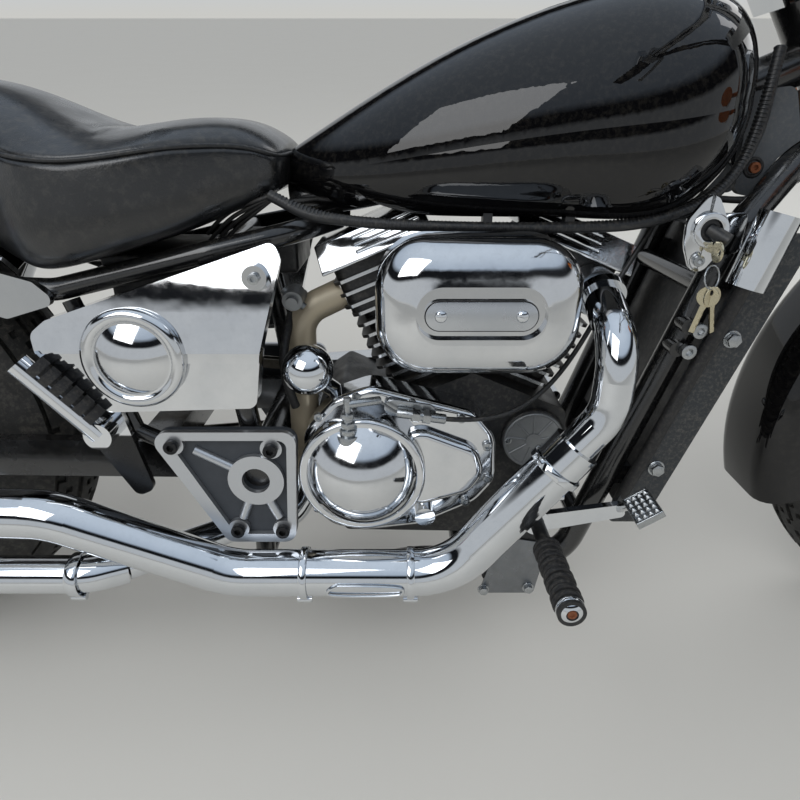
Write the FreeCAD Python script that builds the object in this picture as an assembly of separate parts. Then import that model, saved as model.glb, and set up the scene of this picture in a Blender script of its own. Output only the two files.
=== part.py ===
import FreeCAD, Part

import os
from math import asin, atan2, cos, degrees, pi, radians, sin, sqrt, tan

V = FreeCAD.Vector

# A cruiser motorcycle with a V-twin engine, parked on its side stand.
# Every piece is drawn on the upright machine: x forward from the rear axle, y to the left
# of the wheels' middle plane, z up from the ground, all in millimetres.
# At the end the machine is leaned on its stand and its origin put under its middle.

# Wheels, tyres and steering
WHEELBASE = 1645
FRONT_TYRE_R = 320
FRONT_TYRE_W = 129
FRONT_WALL = 117
FRONT_RIM_R = FRONT_TYRE_R - FRONT_WALL
REAR_TYRE_R = 325
REAR_TYRE_W = 150
REAR_WALL = 135
REAR_RIM_R = REAR_TYRE_R - REAR_WALL
CROWN_R = 75
RAKE = 34
TRAIL = 142
LEAN = 10
FORK_GAP = 202
FORK_TUBE_R = 20.5
FORK_SLEEVE_R = 27
AXLE_R = 10
AXLE_BORE_R = 6
DISC_R = FRONT_RIM_R - 53
DISC_T = 5

# Frame
TUBE_R = 17
CRADLE_Y = 100
SPINE_R = 24
TUNNEL_GAP = 4
RAIL_R = 13
UPRIGHT_R = 13
UPRIGHT_Y = 134
RAIL_Z = 150
STAND_HINGE = (812, 130, RAIL_Z)
STAND_PIN_R = 8
PIVOT_X = 599
PIVOT_Z = 318
HEAD_LOW = 826
HEAD_HIGH = 1019
HEAD_R = 30
STEM_R = 16

# Swinging arm, chain and suspension
ARM_Y = 108
ARM_T = 16
ARM_H = 52
CHAIN_Y = 88
CHAIN_PITCH = 15.875
REAR_TEETH = 42
FRONT_TEETH = 17
OUTPUT_X = 705
OUTPUT_Z = 322
SHOCK_Y = 153
SHOCK_TOP = (206, 2 * REAR_TYRE_R - 84)
SHOCK_FOOT = (92, REAR_TYRE_R + 59)
STUD_R = 7.7
STRUT_Y = 126

# Engine
CRANK_X = 865
CRANK_Z = 290
VEE = 45
DECK = 130
FIN_COUNT = 8
FIN_STEP = 15
FIN_T = 4
BARREL_R = 50
FIN_HALF = 60
FIN_Y = 74
HEAD_T = 58
COVER_T = 34
CASE_RIGHT = 95
CASE_LEFT = 74
CLUTCH_X = 728
CLUTCH_Z = 324
CLUTCH_R = 77

# Exhaust
PORT_R = 25
PIPE_R = 22
SHIELD_R = 29
REAR_PIPE_R = 19
SILENCER_R = 41
SILENCER_Y = 206
OUTLET_R = 30

# Bodywork
SEAT_LOW = 708
FENDER_T = 3
REAR_FENDER_Y = 96
LAMP_UP = 168
FRONT_FENDER_Y = 71
FENDER_GAP = 60

# Controls
CONDUIT_R = 6
BAR_R = 12.7
BAR_REACH = 420
BAR_END_R = 8.7
BAR_END_DEPTH = 60
PEG_R = 14

# Where the origin lies, measured from the rear axle and the tyres' line on the ground
ORIGIN_X = 781
ORIGIN_Y = 151

SIDES = {"right": -1, "left": 1}
AXIS_X = V(1, 0, 0)
AXIS_Y = V(0, 1, 0)
AXIS_Z = V(0, 0, 1)


# Plain solids

def block(x, y, z):
    low = V(min(x), min(y), min(z))
    return Part.makeBox(max(x) - min(x), max(y) - min(y), max(z) - min(z), low)


def rod(start, end, radius, bore=0):
    a = V(*start)
    b = V(*end)
    along = b - a
    solid = Part.makeCylinder(radius, along.Length, a, along)
    if bore:
        solid = solid.cut(Part.makeCylinder(bore, along.Length, a, along))
    return solid


def disc(x, z, radius, y, bore=0):
    return rod((x, min(y), z), (x, max(y), z), radius, bore)


def union(solids):
    first, rest = solids[0], solids[1:]
    if not rest:
        return first
    return first.fuse(rest).removeSplitter()


def corner_arc(before, corner, after, bend):
    # The arc that rounds a corner, with its two ends on the runs that meet there
    back = before - corner
    ahead = after - corner
    room = 0.45 * min(back.Length, ahead.Length)
    back.normalize()
    ahead.normalize()
    half = back.getAngle(ahead) / 2
    reach = room if bend is None else min(room, bend / tan(half))
    radius = reach * tan(half)
    middle = (back + ahead).normalize()
    tip = corner + middle * (radius / sin(half) - radius)
    return corner + back * reach, tip, corner + ahead * reach


def run(points, bend=None, closed=False):
    # Straight runs joined by tangent arcs
    spots = [V(*point) for point in points]
    corners = list(zip(spots, spots[1:], spots[2:]))
    if closed:
        ring = [spots[-1]] + spots + [spots[0]]
        corners = list(zip(ring, ring[1:], ring[2:]))
    arcs = [corner_arc(*trio, bend) for trio in corners]
    ends = [] if closed else [spots[0]]
    edges = []
    last = arcs[-1][2] if closed else ends[0]
    for first, tip, second in arcs:
        if (first - last).Length > 1e-4:
            edges.append(Part.LineSegment(last, first).toShape())
        edges.append(Part.Arc(first, tip, second).toShape())
        last = second
    if not closed:
        edges.append(Part.LineSegment(last, spots[-1]).toShape())
    return Part.Wire(edges)


def tube(points, radius, bend=None):
    spots = [V(*point) for point in points]
    if len(spots) == 2:
        return rod(points[0], points[1], radius)
    path = run(points, bend)
    ring = Part.Wire(Part.makeCircle(radius, spots[0], spots[1] - spots[0]))
    return path.makePipeShell([ring], True, False)


def panel(outline, y, corner):
    # An outline of (x, z) points with rounded corners, given a thickness across the machine
    wire = run([(x, min(y), z) for x, z in outline], corner, closed=True)
    return Part.Face(wire).extrude(V(0, max(y) - min(y), 0))


def spun(x, z, outline):
    # An outline of (radius, y) points turned about an axle through (x, z)
    spots = [V(x + radius, y, z) for radius, y in outline]
    wire = Part.makePolygon(spots + [spots[0]])
    return Part.Face(wire).revolve(V(x, 0, z), AXIS_Y, 360)


def mirrored(solid):
    return solid.mirror(V(0, 0, 0), AXIS_Y)


def on_side(solid, side):
    # Pieces are drawn on the right, where y is below zero
    return solid if side < 0 else mirrored(solid)


def pair(build):
    # The same piece on both sides, or on both cylinders
    return Part.makeCompound([build(side) for side in SIDES.values()])


def softened(solid, radius, wanted):
    edges = [edge for edge in solid.Edges if wanted(edge)]
    return solid.makeFillet(radius, edges)


def outer_rim(y):
    # Picks the edges that lie flat in the plane at y
    return lambda edge: abs(edge.BoundBox.YMin - y) < 0.01 and abs(edge.BoundBox.YMax - y) < 0.01


# Steering line: places on it are given by how far up it they are and how far ahead

UP = V(-sin(radians(RAKE)), 0, cos(radians(RAKE)))
AHEAD = V(cos(radians(RAKE)), 0, sin(radians(RAKE)))
FOOT = V(WHEELBASE + TRAIL, 0, 0)
FRONT_AXLE = V(WHEELBASE, 0, FRONT_TYRE_R)
AXLE_UP = (FRONT_AXLE - FOOT).dot(UP)
OFFSET = (FRONT_AXLE - FOOT).dot(AHEAD)
FORK_Y = FORK_GAP / 2


def on_fork(up, ahead, y=0):
    spot = FOOT + UP * up + AHEAD * ahead
    return (spot.x, y, spot.z)


def across_fork(outline, up):
    # An outline of (ahead, y) points square to the steering line, as thick as up says
    base = [on_fork(up[0], ahead, y) for ahead, y in outline]
    face = Part.Face(run(base, 12, closed=True))
    return face.extrude(UP * (up[1] - up[0]))


# Wheels and tyres

def tyre(x, radius, width, rim_r):
    # The crown is round about its own middle, so that the tyre can stand leaning on it
    half = width / 2
    crown = CROWN_R - sqrt(CROWN_R ** 2 - (0.62 * half) ** 2)
    middle = (radius + rim_r) / 2
    bead = 0.62 * half
    points = [
        (rim_r, -bead), (middle, -half), (radius - crown, -0.62 * half), (radius, 0),
        (radius - crown, 0.62 * half), (middle, half), (rim_r, bead),
    ]
    spot = [V(x + r, y, radius) for r, y in points]
    low, high = points[1][0], points[2][0]
    side = V(x + (low + high) / 2, -half * 0.93, radius)
    other = V(side.x, -side.y, radius)
    edges = [
        Part.Arc(spot[0], V(x + (rim_r + low) / 2, -half * 0.88, radius), spot[1]),
        Part.Arc(spot[1], side, spot[2]),
        Part.Arc(spot[2], spot[3], spot[4]),
        Part.Arc(spot[4], other, spot[5]),
        Part.Arc(spot[5], V(x + (rim_r + low) / 2, half * 0.88, radius), spot[6]),
        Part.LineSegment(spot[6], spot[0]),
    ]
    wire = Part.Wire([edge.toShape() for edge in edges])
    return Part.Face(wire).revolve(V(x, 0, radius), AXIS_Y, 360)


def cast_wheel(x, z, rim_r, width, hub_half, spokes):
    half = 0.36 * width
    rim = spun(x, z, [
        (rim_r, -half - 8), (rim_r, half + 8), (rim_r - 6, half + 8), (rim_r - 16, half - 12),
        (rim_r - 30, 18), (rim_r - 30, -18), (rim_r - 16, 12 - half), (rim_r - 6, -half - 8),
    ])
    hub = spun(x, z, [
        (AXLE_R, -hub_half), (34, -hub_half), (40, 8 - hub_half), (40, hub_half - 8),
        (34, hub_half), (AXLE_R, hub_half),
    ])
    solids = [rim, hub]
    turn = 360 / spokes
    for number in range(spokes):
        for tilt in (-9, 9):
            spoke = spoke_bar(x, z, 34, rim_r - 24, tilt)
            spoke.rotate(V(x, 0, z), AXIS_Y, number * turn)
            solids.append(spoke)
    return union(solids)


def spoke_bar(x, z, inner, outer, tilt):
    # One leg of a forked spoke: wide at the hub, slimmer at the rim
    bar = Part.makePolygon([
        V(x - 11, -12, z + inner), V(x + 11, -12, z + inner),
        V(x + 8, -12, z + outer), V(x - 8, -12, z + outer), V(x - 11, -12, z + inner),
    ])
    solid = Part.Face(bar).extrude(V(0, 24, 0))
    solid.rotate(V(x, 0, z), AXIS_Y, tilt)
    return solid


def front_wheel():
    return cast_wheel(WHEELBASE, FRONT_TYRE_R, FRONT_RIM_R, FRONT_TYRE_W, 42, 5)


def front_tyre():
    return tyre(WHEELBASE, FRONT_TYRE_R, FRONT_TYRE_W, FRONT_RIM_R)


def front_disc():
    y = (-42 - DISC_T - 6, -42 - 6)
    x, z = WHEELBASE, FRONT_TYRE_R
    ring = disc(x, z, DISC_R, y, DISC_R - 34)
    carrier = disc(x, z, 46, (y[0], -42), AXLE_R)
    arms = []
    for number in range(5):
        arm = block((x - 9, x + 9), y, (z + 30, z + DISC_R - 30))
        arm.rotate(V(x, 0, z), AXIS_Y, number * 72)
        arms.append(arm)
    return union([ring, carrier] + arms)


def rear_wheel():
    x, z = 0, REAR_TYRE_R
    wheel = cast_wheel(x, z, REAR_RIM_R, REAR_TYRE_W, 62, 5)
    drum = spun(x, z, [(AXLE_R, -62), (98, -62), (98, -20), (86, -14), (AXLE_R, -14)])
    return union([wheel, drum, rear_sprocket()])


def rear_tyre():
    return tyre(0, REAR_TYRE_R, REAR_TYRE_W, REAR_RIM_R)


def pitch_radius(teeth):
    return CHAIN_PITCH / (2 * sin(pi / teeth))


def toothed(x, z, teeth, y, bore):
    # A toothed wheel whose points stop short of the chain's rollers
    tip = pitch_radius(teeth) - 7
    root = tip - 6
    spots = []
    for number in range(teeth):
        for share, radius in ((-0.28, root), (-0.12, tip), (0.12, tip), (0.28, root)):
            turn = 2 * pi * (number + share) / teeth
            spots.append(V(x + radius * cos(turn), min(y), z + radius * sin(turn)))
    face = Part.Face(Part.makePolygon(spots + [spots[0]]))
    wheel = face.extrude(V(0, max(y) - min(y), 0))
    return wheel.cut(disc(x, z, bore, (min(y) - 1, max(y) + 1)))


def rear_sprocket():
    y = (CHAIN_Y - 3, CHAIN_Y + 3)
    wheel = toothed(0, REAR_TYRE_R, REAR_TEETH, y, 40)
    for number in range(5):
        turn = 2 * pi * number / 5
        x = 66 * cos(turn)
        z = REAR_TYRE_R + 66 * sin(turn)
        wheel = wheel.cut(disc(x, z, 12, (y[0] - 1, y[1] + 1)))
    carrier = disc(0, REAR_TYRE_R, 50, (62, y[1] + 2), AXLE_R)
    return union([wheel, carrier])


# Chain: two rows of side plates and the rollers between them, as one closed loop

def belt(reach_rear, reach_front, y):
    # A closed band around both sprockets, its edge that far from their middles
    x1, z1, x2, z2 = 0, REAR_TYRE_R, OUTPUT_X, OUTPUT_Z
    span = sqrt((x2 - x1) ** 2 + (z2 - z1) ** 2)
    slope = atan2(z2 - z1, x2 - x1)
    lean = asin((reach_rear - reach_front) / span)
    top = slope + pi / 2 - lean
    low = slope - pi / 2 + lean

    def rim(x, z, radius, angle):
        return V(x + radius * cos(angle), min(y), z + radius * sin(angle))

    a = rim(x1, z1, reach_rear, top)
    b = rim(x2, z2, reach_front, top)
    c = rim(x2, z2, reach_front, slope)
    d = rim(x2, z2, reach_front, low)
    e = rim(x1, z1, reach_rear, low)
    f = rim(x1, z1, reach_rear, slope + pi)
    wire = Part.Wire([
        Part.LineSegment(a, b).toShape(), Part.Arc(b, c, d).toShape(),
        Part.LineSegment(d, e).toShape(), Part.Arc(e, f, a).toShape(),
    ])
    return Part.Face(wire).extrude(V(0, max(y) - min(y), 0))


def chain():
    rear = pitch_radius(REAR_TEETH)
    front = pitch_radius(FRONT_TEETH)

    def band(half, y):
        return belt(rear + half, front + half, y).cut(belt(rear - half, front - half, y))

    plates = [band(7, (CHAIN_Y + side * 5.5, CHAIN_Y + side * 8.5)) for side in (-1, 1)]
    rollers = band(4, (CHAIN_Y - 5.5, CHAIN_Y + 5.5))
    return union(plates + [rollers])


# Frame

def head_blank(radius=HEAD_R):
    return rod(on_fork(HEAD_LOW, 0), on_fork(HEAD_HIGH, 0), radius)


def frame_backbone():
    # The steering head, and the tube from it back under the tank
    high, low = on_fork(HEAD_LOW + 85, 12), on_fork(HEAD_LOW + 46, 8)
    gusset = panel([(1165, 730), (high[0], high[2]), (low[0], low[2]), (1180, 662)], (-4, 4), 8)
    pad = spine(SPINE_R + TUNNEL_GAP).common(block((1035, 1060), (-60, 60), (600, 800)))
    solid = union([spine(), gusset, head_blank(), pad])
    return solid.cut(head_blank(STEM_R + 0.6))


def spine(radius=SPINE_R):
    top = on_fork(HEAD_HIGH - 70, 0)
    return tube([top, (1080, 0, 712), (720, 0, 640), (640, 0, 628)], radius, 90)


def downtube(side, radius=TUBE_R):
    y = side * CRADLE_Y
    points = [on_fork(HEAD_LOW + 61, 0, side * 16), (1150, y, 604), (1000, y, RAIL_Z), (900, y, RAIL_Z)]
    return tube(points, radius, 80)


def frame_downtubes():
    # Two tubes from the steering head, in front of the engine and under it, tied by two bars
    tubes = [downtube(side) for side in SIDES.values()]
    ties = []
    for share in (0.14, 0.86):
        x = 1000 + share * 150
        z = RAIL_Z + share * (604 - RAIL_Z)
        ties.append(rod((x, -CRADLE_Y, z), (x, CRADLE_Y, z), 12))
    lugs = []
    for side in SIDES.values():
        for z in (280, 540):
            lugs.append(tilted([(0, z), (0, z + 26), (26, z + 26), (26, z)],
                               (side * 90, side * 110), 1))
        for share in (0.71, 0.77):
            x = 1000 + share * 150
            z = RAIL_Z + share * (604 - RAIL_Z)
            y = side * CRADLE_Y
            lugs.append(rod((x - 8, y, z), (x - 8, y + side * 26, z), 9))
    return union(tubes + ties + lugs).cut(head_blank())


def frame_lower_rails():
    tubes = []
    for side in SIDES.values():
        y = side * CRADLE_Y
        wide = side * UPRIGHT_Y
        tubes.append(tube([(900, y, RAIL_Z), (800, y, RAIL_Z), (640, wide, RAIL_Z)], TUBE_R, 120))
    tie = rod((860, -CRADLE_Y, RAIL_Z), (860, CRADLE_Y, RAIL_Z), 12)
    pin = rod(on_hinge(-34), on_hinge(14), STAND_PIN_R)
    return union(tubes + [tie, pin])


def upright(side):
    y = side * UPRIGHT_Y
    points = [(640, y, RAIL_Z), (592, y, RAIL_Z), (599, y, PIVOT_Z), (580, y, 470),
              (562, side * 124, 572)]
    return tube(points, UPRIGHT_R, 60)


def frame_uprights():
    # Behind the engine, with the bosses that carry the swinging arm's bolt
    solids = [upright(side) for side in SIDES.values()]
    for side in SIDES.values():
        y = side * UPRIGHT_Y
        solids.append(disc(PIVOT_X, PIVOT_Z, 24, (side * 122, side * 150)))
        elbow = (452, y, 372)
        solids.append(rod((598, y, 296), elbow, 10))
        solids.append(rod(elbow, (398, side * 118, 530), 10))
        solids.append(Part.makeSphere(10, V(*elbow)))
    solids.append(rod((592, -UPRIGHT_Y, 170), (592, UPRIGHT_Y, 170), 10))
    solids.append(disc(PIVOT_X, PIVOT_Z, AXLE_R - 0.3, (-149, 149)))
    rails = [seat_rail(side) for side in SIDES.values()]
    return union(solids).cut([frame_lower_rails()] + rails)


def seat_rail(side, radius=RAIL_R):
    # From under the tank's rear end back beside the seat to the fender
    points = [(698, side * 28, 609), (650, side * 92, 600), (560, side * 112, 582),
              (380, side * 112, 540), (180, side * 112, 548)]
    return tube(points, radius, 80)


def frame_seat_rails():
    solids = [seat_rail(side) for side in SIDES.values()]
    for x, z in ((566, 584), (420, 550)):
        solids.append(rod((x, -112, z), (x, 112, z), 10))
    return union(solids).cut(frame_backbone())


def swingarm():
    solids = [disc(PIVOT_X, PIVOT_Z, 22, (-116, 116))]
    for side in SIDES.values():
        y = (side * (ARM_Y - ARM_T / 2), side * (ARM_Y + ARM_T / 2))
        top, low = ARM_H / 2, -ARM_H / 2
        outline = [(PIVOT_X, PIVOT_Z + top), (60, REAR_TYRE_R + top), (-45, REAR_TYRE_R + 24),
                   (-45, REAR_TYRE_R - 24), (60, REAR_TYRE_R + low), (PIVOT_X, PIVOT_Z + low)]
        solids.append(panel(outline, y, 14))
    solids.append(block((430, 476), (-110, 110), (PIVOT_Z - 20, PIVOT_Z + 22)))
    for side in SIDES.values():
        x, z = SHOCK_FOOT
        lug = panel([(x - 12, z - 44), (x + 18, z + 8), (x - 8, z + 8), (x - 40, z - 44)],
                    (side * 100, side * 116), 6)
        solids.append(lug)
        stud = (side * 104, side * (SHOCK_Y + 14))
        solids.append(disc(SHOCK_FOOT[0], SHOCK_FOOT[1], STUD_R, stud))
    solid = union(solids)
    way = disc(0, REAR_TYRE_R, AXLE_R, (-160, 160))
    bolt = disc(PIVOT_X, PIVOT_Z, AXLE_R, (-160, 160))
    return solid.cut(way).cut(bolt)


def rear_axle():
    # The axle with its nuts, and the still side of the rear drum with its arm
    shaft = disc(0, REAR_TYRE_R, AXLE_R - 0.3, (-136, 136))
    nuts = [disc(0, REAR_TYRE_R, 17, (side * 116, side * 132)) for side in (-1, 1)]
    plate = disc(0, REAR_TYRE_R, 94, (-70, -64))
    boss = disc(0, REAR_TYRE_R, 26, (-100, -70))
    z = REAR_TYRE_R
    arm = panel([(-10, z - 70), (8, z - 70), (64, z - 25), (50, z - 9)], (-84, -70), 6)
    return union([shaft, plate, boss, arm] + nuts)


def shocks():
    # Two dampers with their springs, from the swinging arm to the seat rails
    solids = []
    for side in SIDES.values():
        y = side * SHOCK_Y
        low = V(SHOCK_FOOT[0], y, SHOCK_FOOT[1])
        high = V(SHOCK_TOP[0], y, SHOCK_TOP[1])
        along = (high - low).normalize()
        body = rod(tuple(low + along * 12), tuple(high - along * 12), 11)
        eyes = [disc(spot.x, spot.z, 15, (y - 12, y + 12), 8) for spot in (low, high)]
        spring = spring_rings(low + along * 36, high - along * 76, 24, 4.5)
        seat = rod(tuple(low + along * 28), tuple(low + along * 36), 25)
        hood = rod(tuple(high - along * 84), tuple(high - along * 40), 26)
        solids.append(union([body, seat, hood] + eyes + spring))
    return Part.makeCompound(solids)


def spring_rings(low, high, radius, wire_r):
    along = high - low
    count = int(along.Length / (wire_r * 3.2))
    rings = []
    for number in range(count):
        spot = low + along * ((number + 0.5) / count)
        outer = Part.makeCylinder(radius, wire_r * 1.6, spot, along)
        rings.append(outer)
    return rings


# Engine

def along_bank(side):
    # Up the cylinder, and square to it toward the front
    turn = radians(VEE / 2) * side
    return V(sin(turn), 0, cos(turn)), V(cos(turn), 0, -sin(turn))


def bank_block(side, half, depth, low, high, corner=6):
    # A block that sits on the cylinder's line from low to high above the crank
    up, front = along_bank(side)
    crank = V(CRANK_X, 0, CRANK_Z)
    base = crank + up * low
    spots = [base + front * f + V(0, y, 0) for f, y in
             ((-half, -depth), (half, -depth), (half, depth), (-half, depth))]
    wire = run([tuple(spot) for spot in spots], corner, closed=True)
    return Part.Face(wire).extrude(up * (high - low))


FIN_TOP = DECK + FIN_COUNT * FIN_STEP


def cylinder(side):
    # A finned barrel and its head, cut at the middle of the vee
    core = bank_block(side, BARREL_R, FIN_Y - 16, DECK, FIN_TOP, 18)
    fins = []
    for number in range(FIN_COUNT):
        low = DECK + FIN_STEP * (number + 1) - FIN_T
        reach = FIN_HALF if number > 1 else BARREL_R + 3
        fins.append(bank_block(side, reach, FIN_Y, low, low + FIN_T, 14))
    head = bank_block(side, FIN_HALF, FIN_Y - 4, FIN_TOP, FIN_TOP + HEAD_T, 16)
    ribs = [bank_block(side, FIN_HALF + 5, FIN_Y, FIN_TOP + low, FIN_TOP + low + FIN_T, 14)
            for low in (8, 24, 40)]
    solid = union([core, head] + fins + ribs)
    if side > 0:
        port = front_exhaust_path()["port"]
        solid = union([solid, rod((port[0], -60, port[2]), port, PORT_R)])
    start = CRANK_X if side > 0 else CRANK_X - 600
    return solid.common(Part.makeBox(600, 400, 600, V(start, -200, CRANK_Z)))


def head_cover(side):
    # A polished cover with rounded ends and raised ribs that run along it
    low = FIN_TOP + HEAD_T
    solid = bank_block(side, FIN_HALF + 10, FIN_Y + 8, low, low + COVER_T, 20)
    up, front = along_bank(side)
    crank = V(CRANK_X, 0, CRANK_Z)
    top = crank + up * (low + COVER_T)
    solid = softened(solid, 12, lambda edge: all(
        abs((vertex.Point - top).dot(up)) < 0.01 for vertex in edge.Vertexes))
    ribs = []
    for y in (-62, -44, -26, 26, 44, 62):
        start = top + front * (-FIN_HALF + 8) + V(0, y, 0) - up * 1
        end = top + front * (FIN_HALF - 8) + V(0, y, 0) - up * 1
        ribs.append(rod(tuple(start), tuple(end), 4))
    return union([solid] + ribs)




def deck_z(x):
    # The height of the cylinders' seat on the case
    return CRANK_Z + DECK / cos(radians(VEE / 2)) - abs(x - CRANK_X) * tan(radians(VEE / 2))


CASE_OUTLINE = [
    (700, 196), (668, 240), (668, 380), (700, 402), (745, deck_z(745)), (CRANK_X, deck_z(CRANK_X)),
    (985, deck_z(985)), (992, 320), (955, 215), (900, 192),
]


def front_sprocket():
    y = (CHAIN_Y - 3, CHAIN_Y + 3)
    wheel = toothed(OUTPUT_X, OUTPUT_Z, FRONT_TEETH, y, 9)
    shaft = disc(OUTPUT_X, OUTPUT_Z, 10, (CASE_LEFT - 2, y[1] + 8))
    return union([wheel, shaft])


def crankcase():
    body = panel(CASE_OUTLINE, (-CASE_RIGHT, CASE_LEFT), 10)
    sump = panel([(720, 176), (712, 205), (930, 205), (905, 176)], (-60, 55), 8)
    ribs = [panel([(940, 240), (1000, 300), (996, 312), (930, 250)], (y - 3, y + 3), 3)
            for y in (-60, -20, 20)]
    cover = softened(disc(946, 342, 41, (-104, -CASE_RIGHT)), 3, outer_rim(-104))
    return union([body, sump, cover, front_sprocket()] + ribs)


CLUTCH_CASE = [
    (655, 300), (655, 368), (695, 414), (740, 430), (865, 396), (892, 362), (896, 300),
    (872, 268), (800, 232), (725, 222), (674, 234),
]


def clutch_case():
    # The polished case on the right, with a raised rim and a tapering nose
    body = panel(CLUTCH_CASE, (-138, -CASE_RIGHT), 38)
    body = softened(body, 8, outer_rim(-138))
    nose = panel([(770, 262), (770, 392), (868, 352), (880, 318), (862, 290)],
                 (-152, -136), 30)
    nose = softened(nose, 9, outer_rim(-152))
    plug = disc(806, 254, 13, (-150, -136))
    solid = union([body, nose, plug])
    return solid.cut(disc(CLUTCH_X, CLUTCH_Z, CLUTCH_R + 0.3, (-160, -138)))


def clutch_cover():
    # The round domed cover over the clutch, with a flat ring round it
    x, z = CLUTCH_X, CLUTCH_Z
    rim = disc(x, z, CLUTCH_R, (-168, -138))
    rim = softened(rim, 6, outer_rim(-168))
    return union([rim, dome(x, z, CLUTCH_R - 10, 34, -168)])


def generator_cover():
    x, z = CRANK_X, CRANK_Z
    skirt = disc(x, z, 92, (CASE_LEFT, 104))
    skirt = softened(skirt, 6, outer_rim(104))
    cap = disc(x, z, 70, (104, 132))
    cap = softened(cap, 14, outer_rim(132))
    return union([skirt, cap])


def sprocket_cover():
    # An open-backed cover on the left, over the front sprocket and the chain's turn
    outline = [(640, 262), (640, 384), (745, 392), (772, 340), (760, 262)]
    outer = panel(outline, (CASE_LEFT, 118), 26)
    outer = softened(outer, 8, outer_rim(118))
    inner = disc(OUTPUT_X, OUTPUT_Z, 56, (CASE_LEFT - 1, 106))
    way = block((600, OUTPUT_X), (CASE_LEFT - 1, 106), (OUTPUT_Z - 56, OUTPUT_Z + 56))
    behind = block((600, 672), (CASE_LEFT - 20, CASE_LEFT + 0.01), (200, 420))
    return outer.cut(inner).cut(way).cut(behind)


AIR_X = (748, 964)
AIR_Z = (464, 608)


# Across the machine, how far the cleaner's outline has drawn in, from its back to its crown
AIR_CROWN = [(-132, 0), (-172, 0), (-188, 3), (-199, 11), (-207, 25), (-211, 42)]
AIR_CORNER = 54


def air_outline(y, inset):
    x0, x1 = AIR_X
    z0, z1 = AIR_Z
    corners = [(x0 + inset, y, z0 + inset), (x0 + inset, y, z1 - inset),
               (x1 - inset, y, z1 - inset), (x1 - inset, y, z0 + inset)]
    return run(corners, AIR_CORNER - 0.6 * inset, closed=True)


def air_cleaner():
    # The polished pillow on the right, with a sunk dish round its raised plate
    cover = Part.makeLoft([air_outline(*row) for row in AIR_CROWN], True, False)
    x, z = sum(AIR_X) / 2, sum(AIR_Z) / 2
    dish = stadium(x, z, 66, 24, (-230, -204))
    plate = stadium(x, z, 58, 16, (-208, -200))
    return union([cover.cut(dish), plate])


def stadium(x, z, half_length, radius, y):
    reach = half_length - radius
    ends = [disc(x + reach * end, z, radius, y) for end in (-1, 1)]
    middle = block((x - reach, x + reach), y, (z - radius, z + radius))
    return union([middle] + ends)


def air_box():
    # The black backing and the duct between the cylinders
    x0, x1 = AIR_X
    z0, z1 = AIR_Z
    backing = panel([(x0 + 6, z0 + 6), (x0 + 6, z1 - 6), (x1 - 6, z1 - 6), (x1 - 6, z0 + 6)],
                    (-132, -92), 50)
    stubs = [rod((780, y, 550), (950, y, 550), 12) for y in (-34, 34)]
    return union([backing, carburettors()] + stubs).cut([cylinder(-1), cylinder(1)])


def carburettors():
    # The pair between the cylinders, under the tank
    solids = []
    for side in (-1, 1):
        solids.append(rod((CRANK_X, side * 34, 524), (CRANK_X, side * 34, 590), 21))
    solids.append(rod((CRANK_X, -92, 556), (CRANK_X, 92, 556), 17))
    return union(solids)


def intake_cover():
    x, z = CRANK_X - 4, 536
    cover = panel([(x - 70, z - 44), (x - 70, z + 44), (x + 70, z + 44), (x + 70, z - 44)],
                  (92, 150), 38)
    return softened(cover, 16, outer_rim(150))


# Exhaust

def front_exhaust_path():
    y = -190
    return {
        "port": (1004, -112, 537),
        "elbow": (1007, y, 498),
        "knee": (1006, y, 420),
        "step": (975, y, 379),
        "low": (837, y, 199),
        "rear": (561, y, 199),
        "rise": (366, -SILENCER_Y, 297),
        "mouth": (190, -SILENCER_Y, 303),
        "tail": (-300, -SILENCER_Y, 318),
    }


def exhaust_front():
    # The front cylinder's pipe, its heat shields and its silencer, on the upper level
    spot = front_exhaust_path()
    pipe = tube([spot["port"], spot["elbow"], spot["knee"], spot["step"]], PIPE_R, 60)
    shield = tube([spot["step"], spot["low"], spot["rear"], spot["rise"], spot["mouth"]],
                  SHIELD_R, 95)
    silencer = silencer_body(spot["mouth"], spot["tail"])
    collar = rod(spot["port"], along_line(spot["port"], spot["elbow"], 10), PIPE_R + 5)
    bands = []
    for x in (655, 787):
        bands.append(rod((x - 4, -190, 199), (x + 4, -190, 199), SHIELD_R + 2))
    return union([pipe, shield, silencer, collar] + bands).cut(cylinder(1))


def along_line(start, end, distance):
    a, b = V(*start), V(*end)
    return tuple(a + (b - a).normalize() * distance)


def silencer_body(mouth, tail):
    a, b = V(*mouth), V(*tail)
    along = (b - a).normalize()
    cone = Part.makeCone(SHIELD_R, SILENCER_R, 60, a, along)
    body = Part.makeCylinder(SILENCER_R, (b - a).Length - 60, a + along * 60, along)
    hollow = Part.makeCylinder(OUTLET_R, 70, b - along * 70, along)
    return union([cone, body]).cut(hollow)


def exhaust_rear():
    # The rear cylinder's pipe runs down behind the engine to the lower silencer
    path = [(700, -48, 520), (650, -66, 500), (645, -70, 250), (620, -80, 206),
            (560, -92, 205), (430, -184, 206)]
    pipe = tube(path, REAR_PIPE_R, 60).cut(cylinder(-1))
    joint = path[-1]
    front = (392, -SILENCER_Y + 2, 208)
    mouth = (190, -SILENCER_Y, 210)
    shield = tube([joint, front, mouth], REAR_PIPE_R + 4, 60)
    silencer = silencer_body(mouth, (-330, -SILENCER_Y, 222))
    return union([pipe, shield, silencer])


# Radiator

def tilted(outline, y, corner):
    # Drawn beside the downtubes: x is measured forward from their line
    lean = (1150 - 1000) / (604 - RAIL_Z)
    points = [(1000 + (z - RAIL_Z) * lean + x, z) for x, z in outline]
    return panel(points, y, corner)


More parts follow.
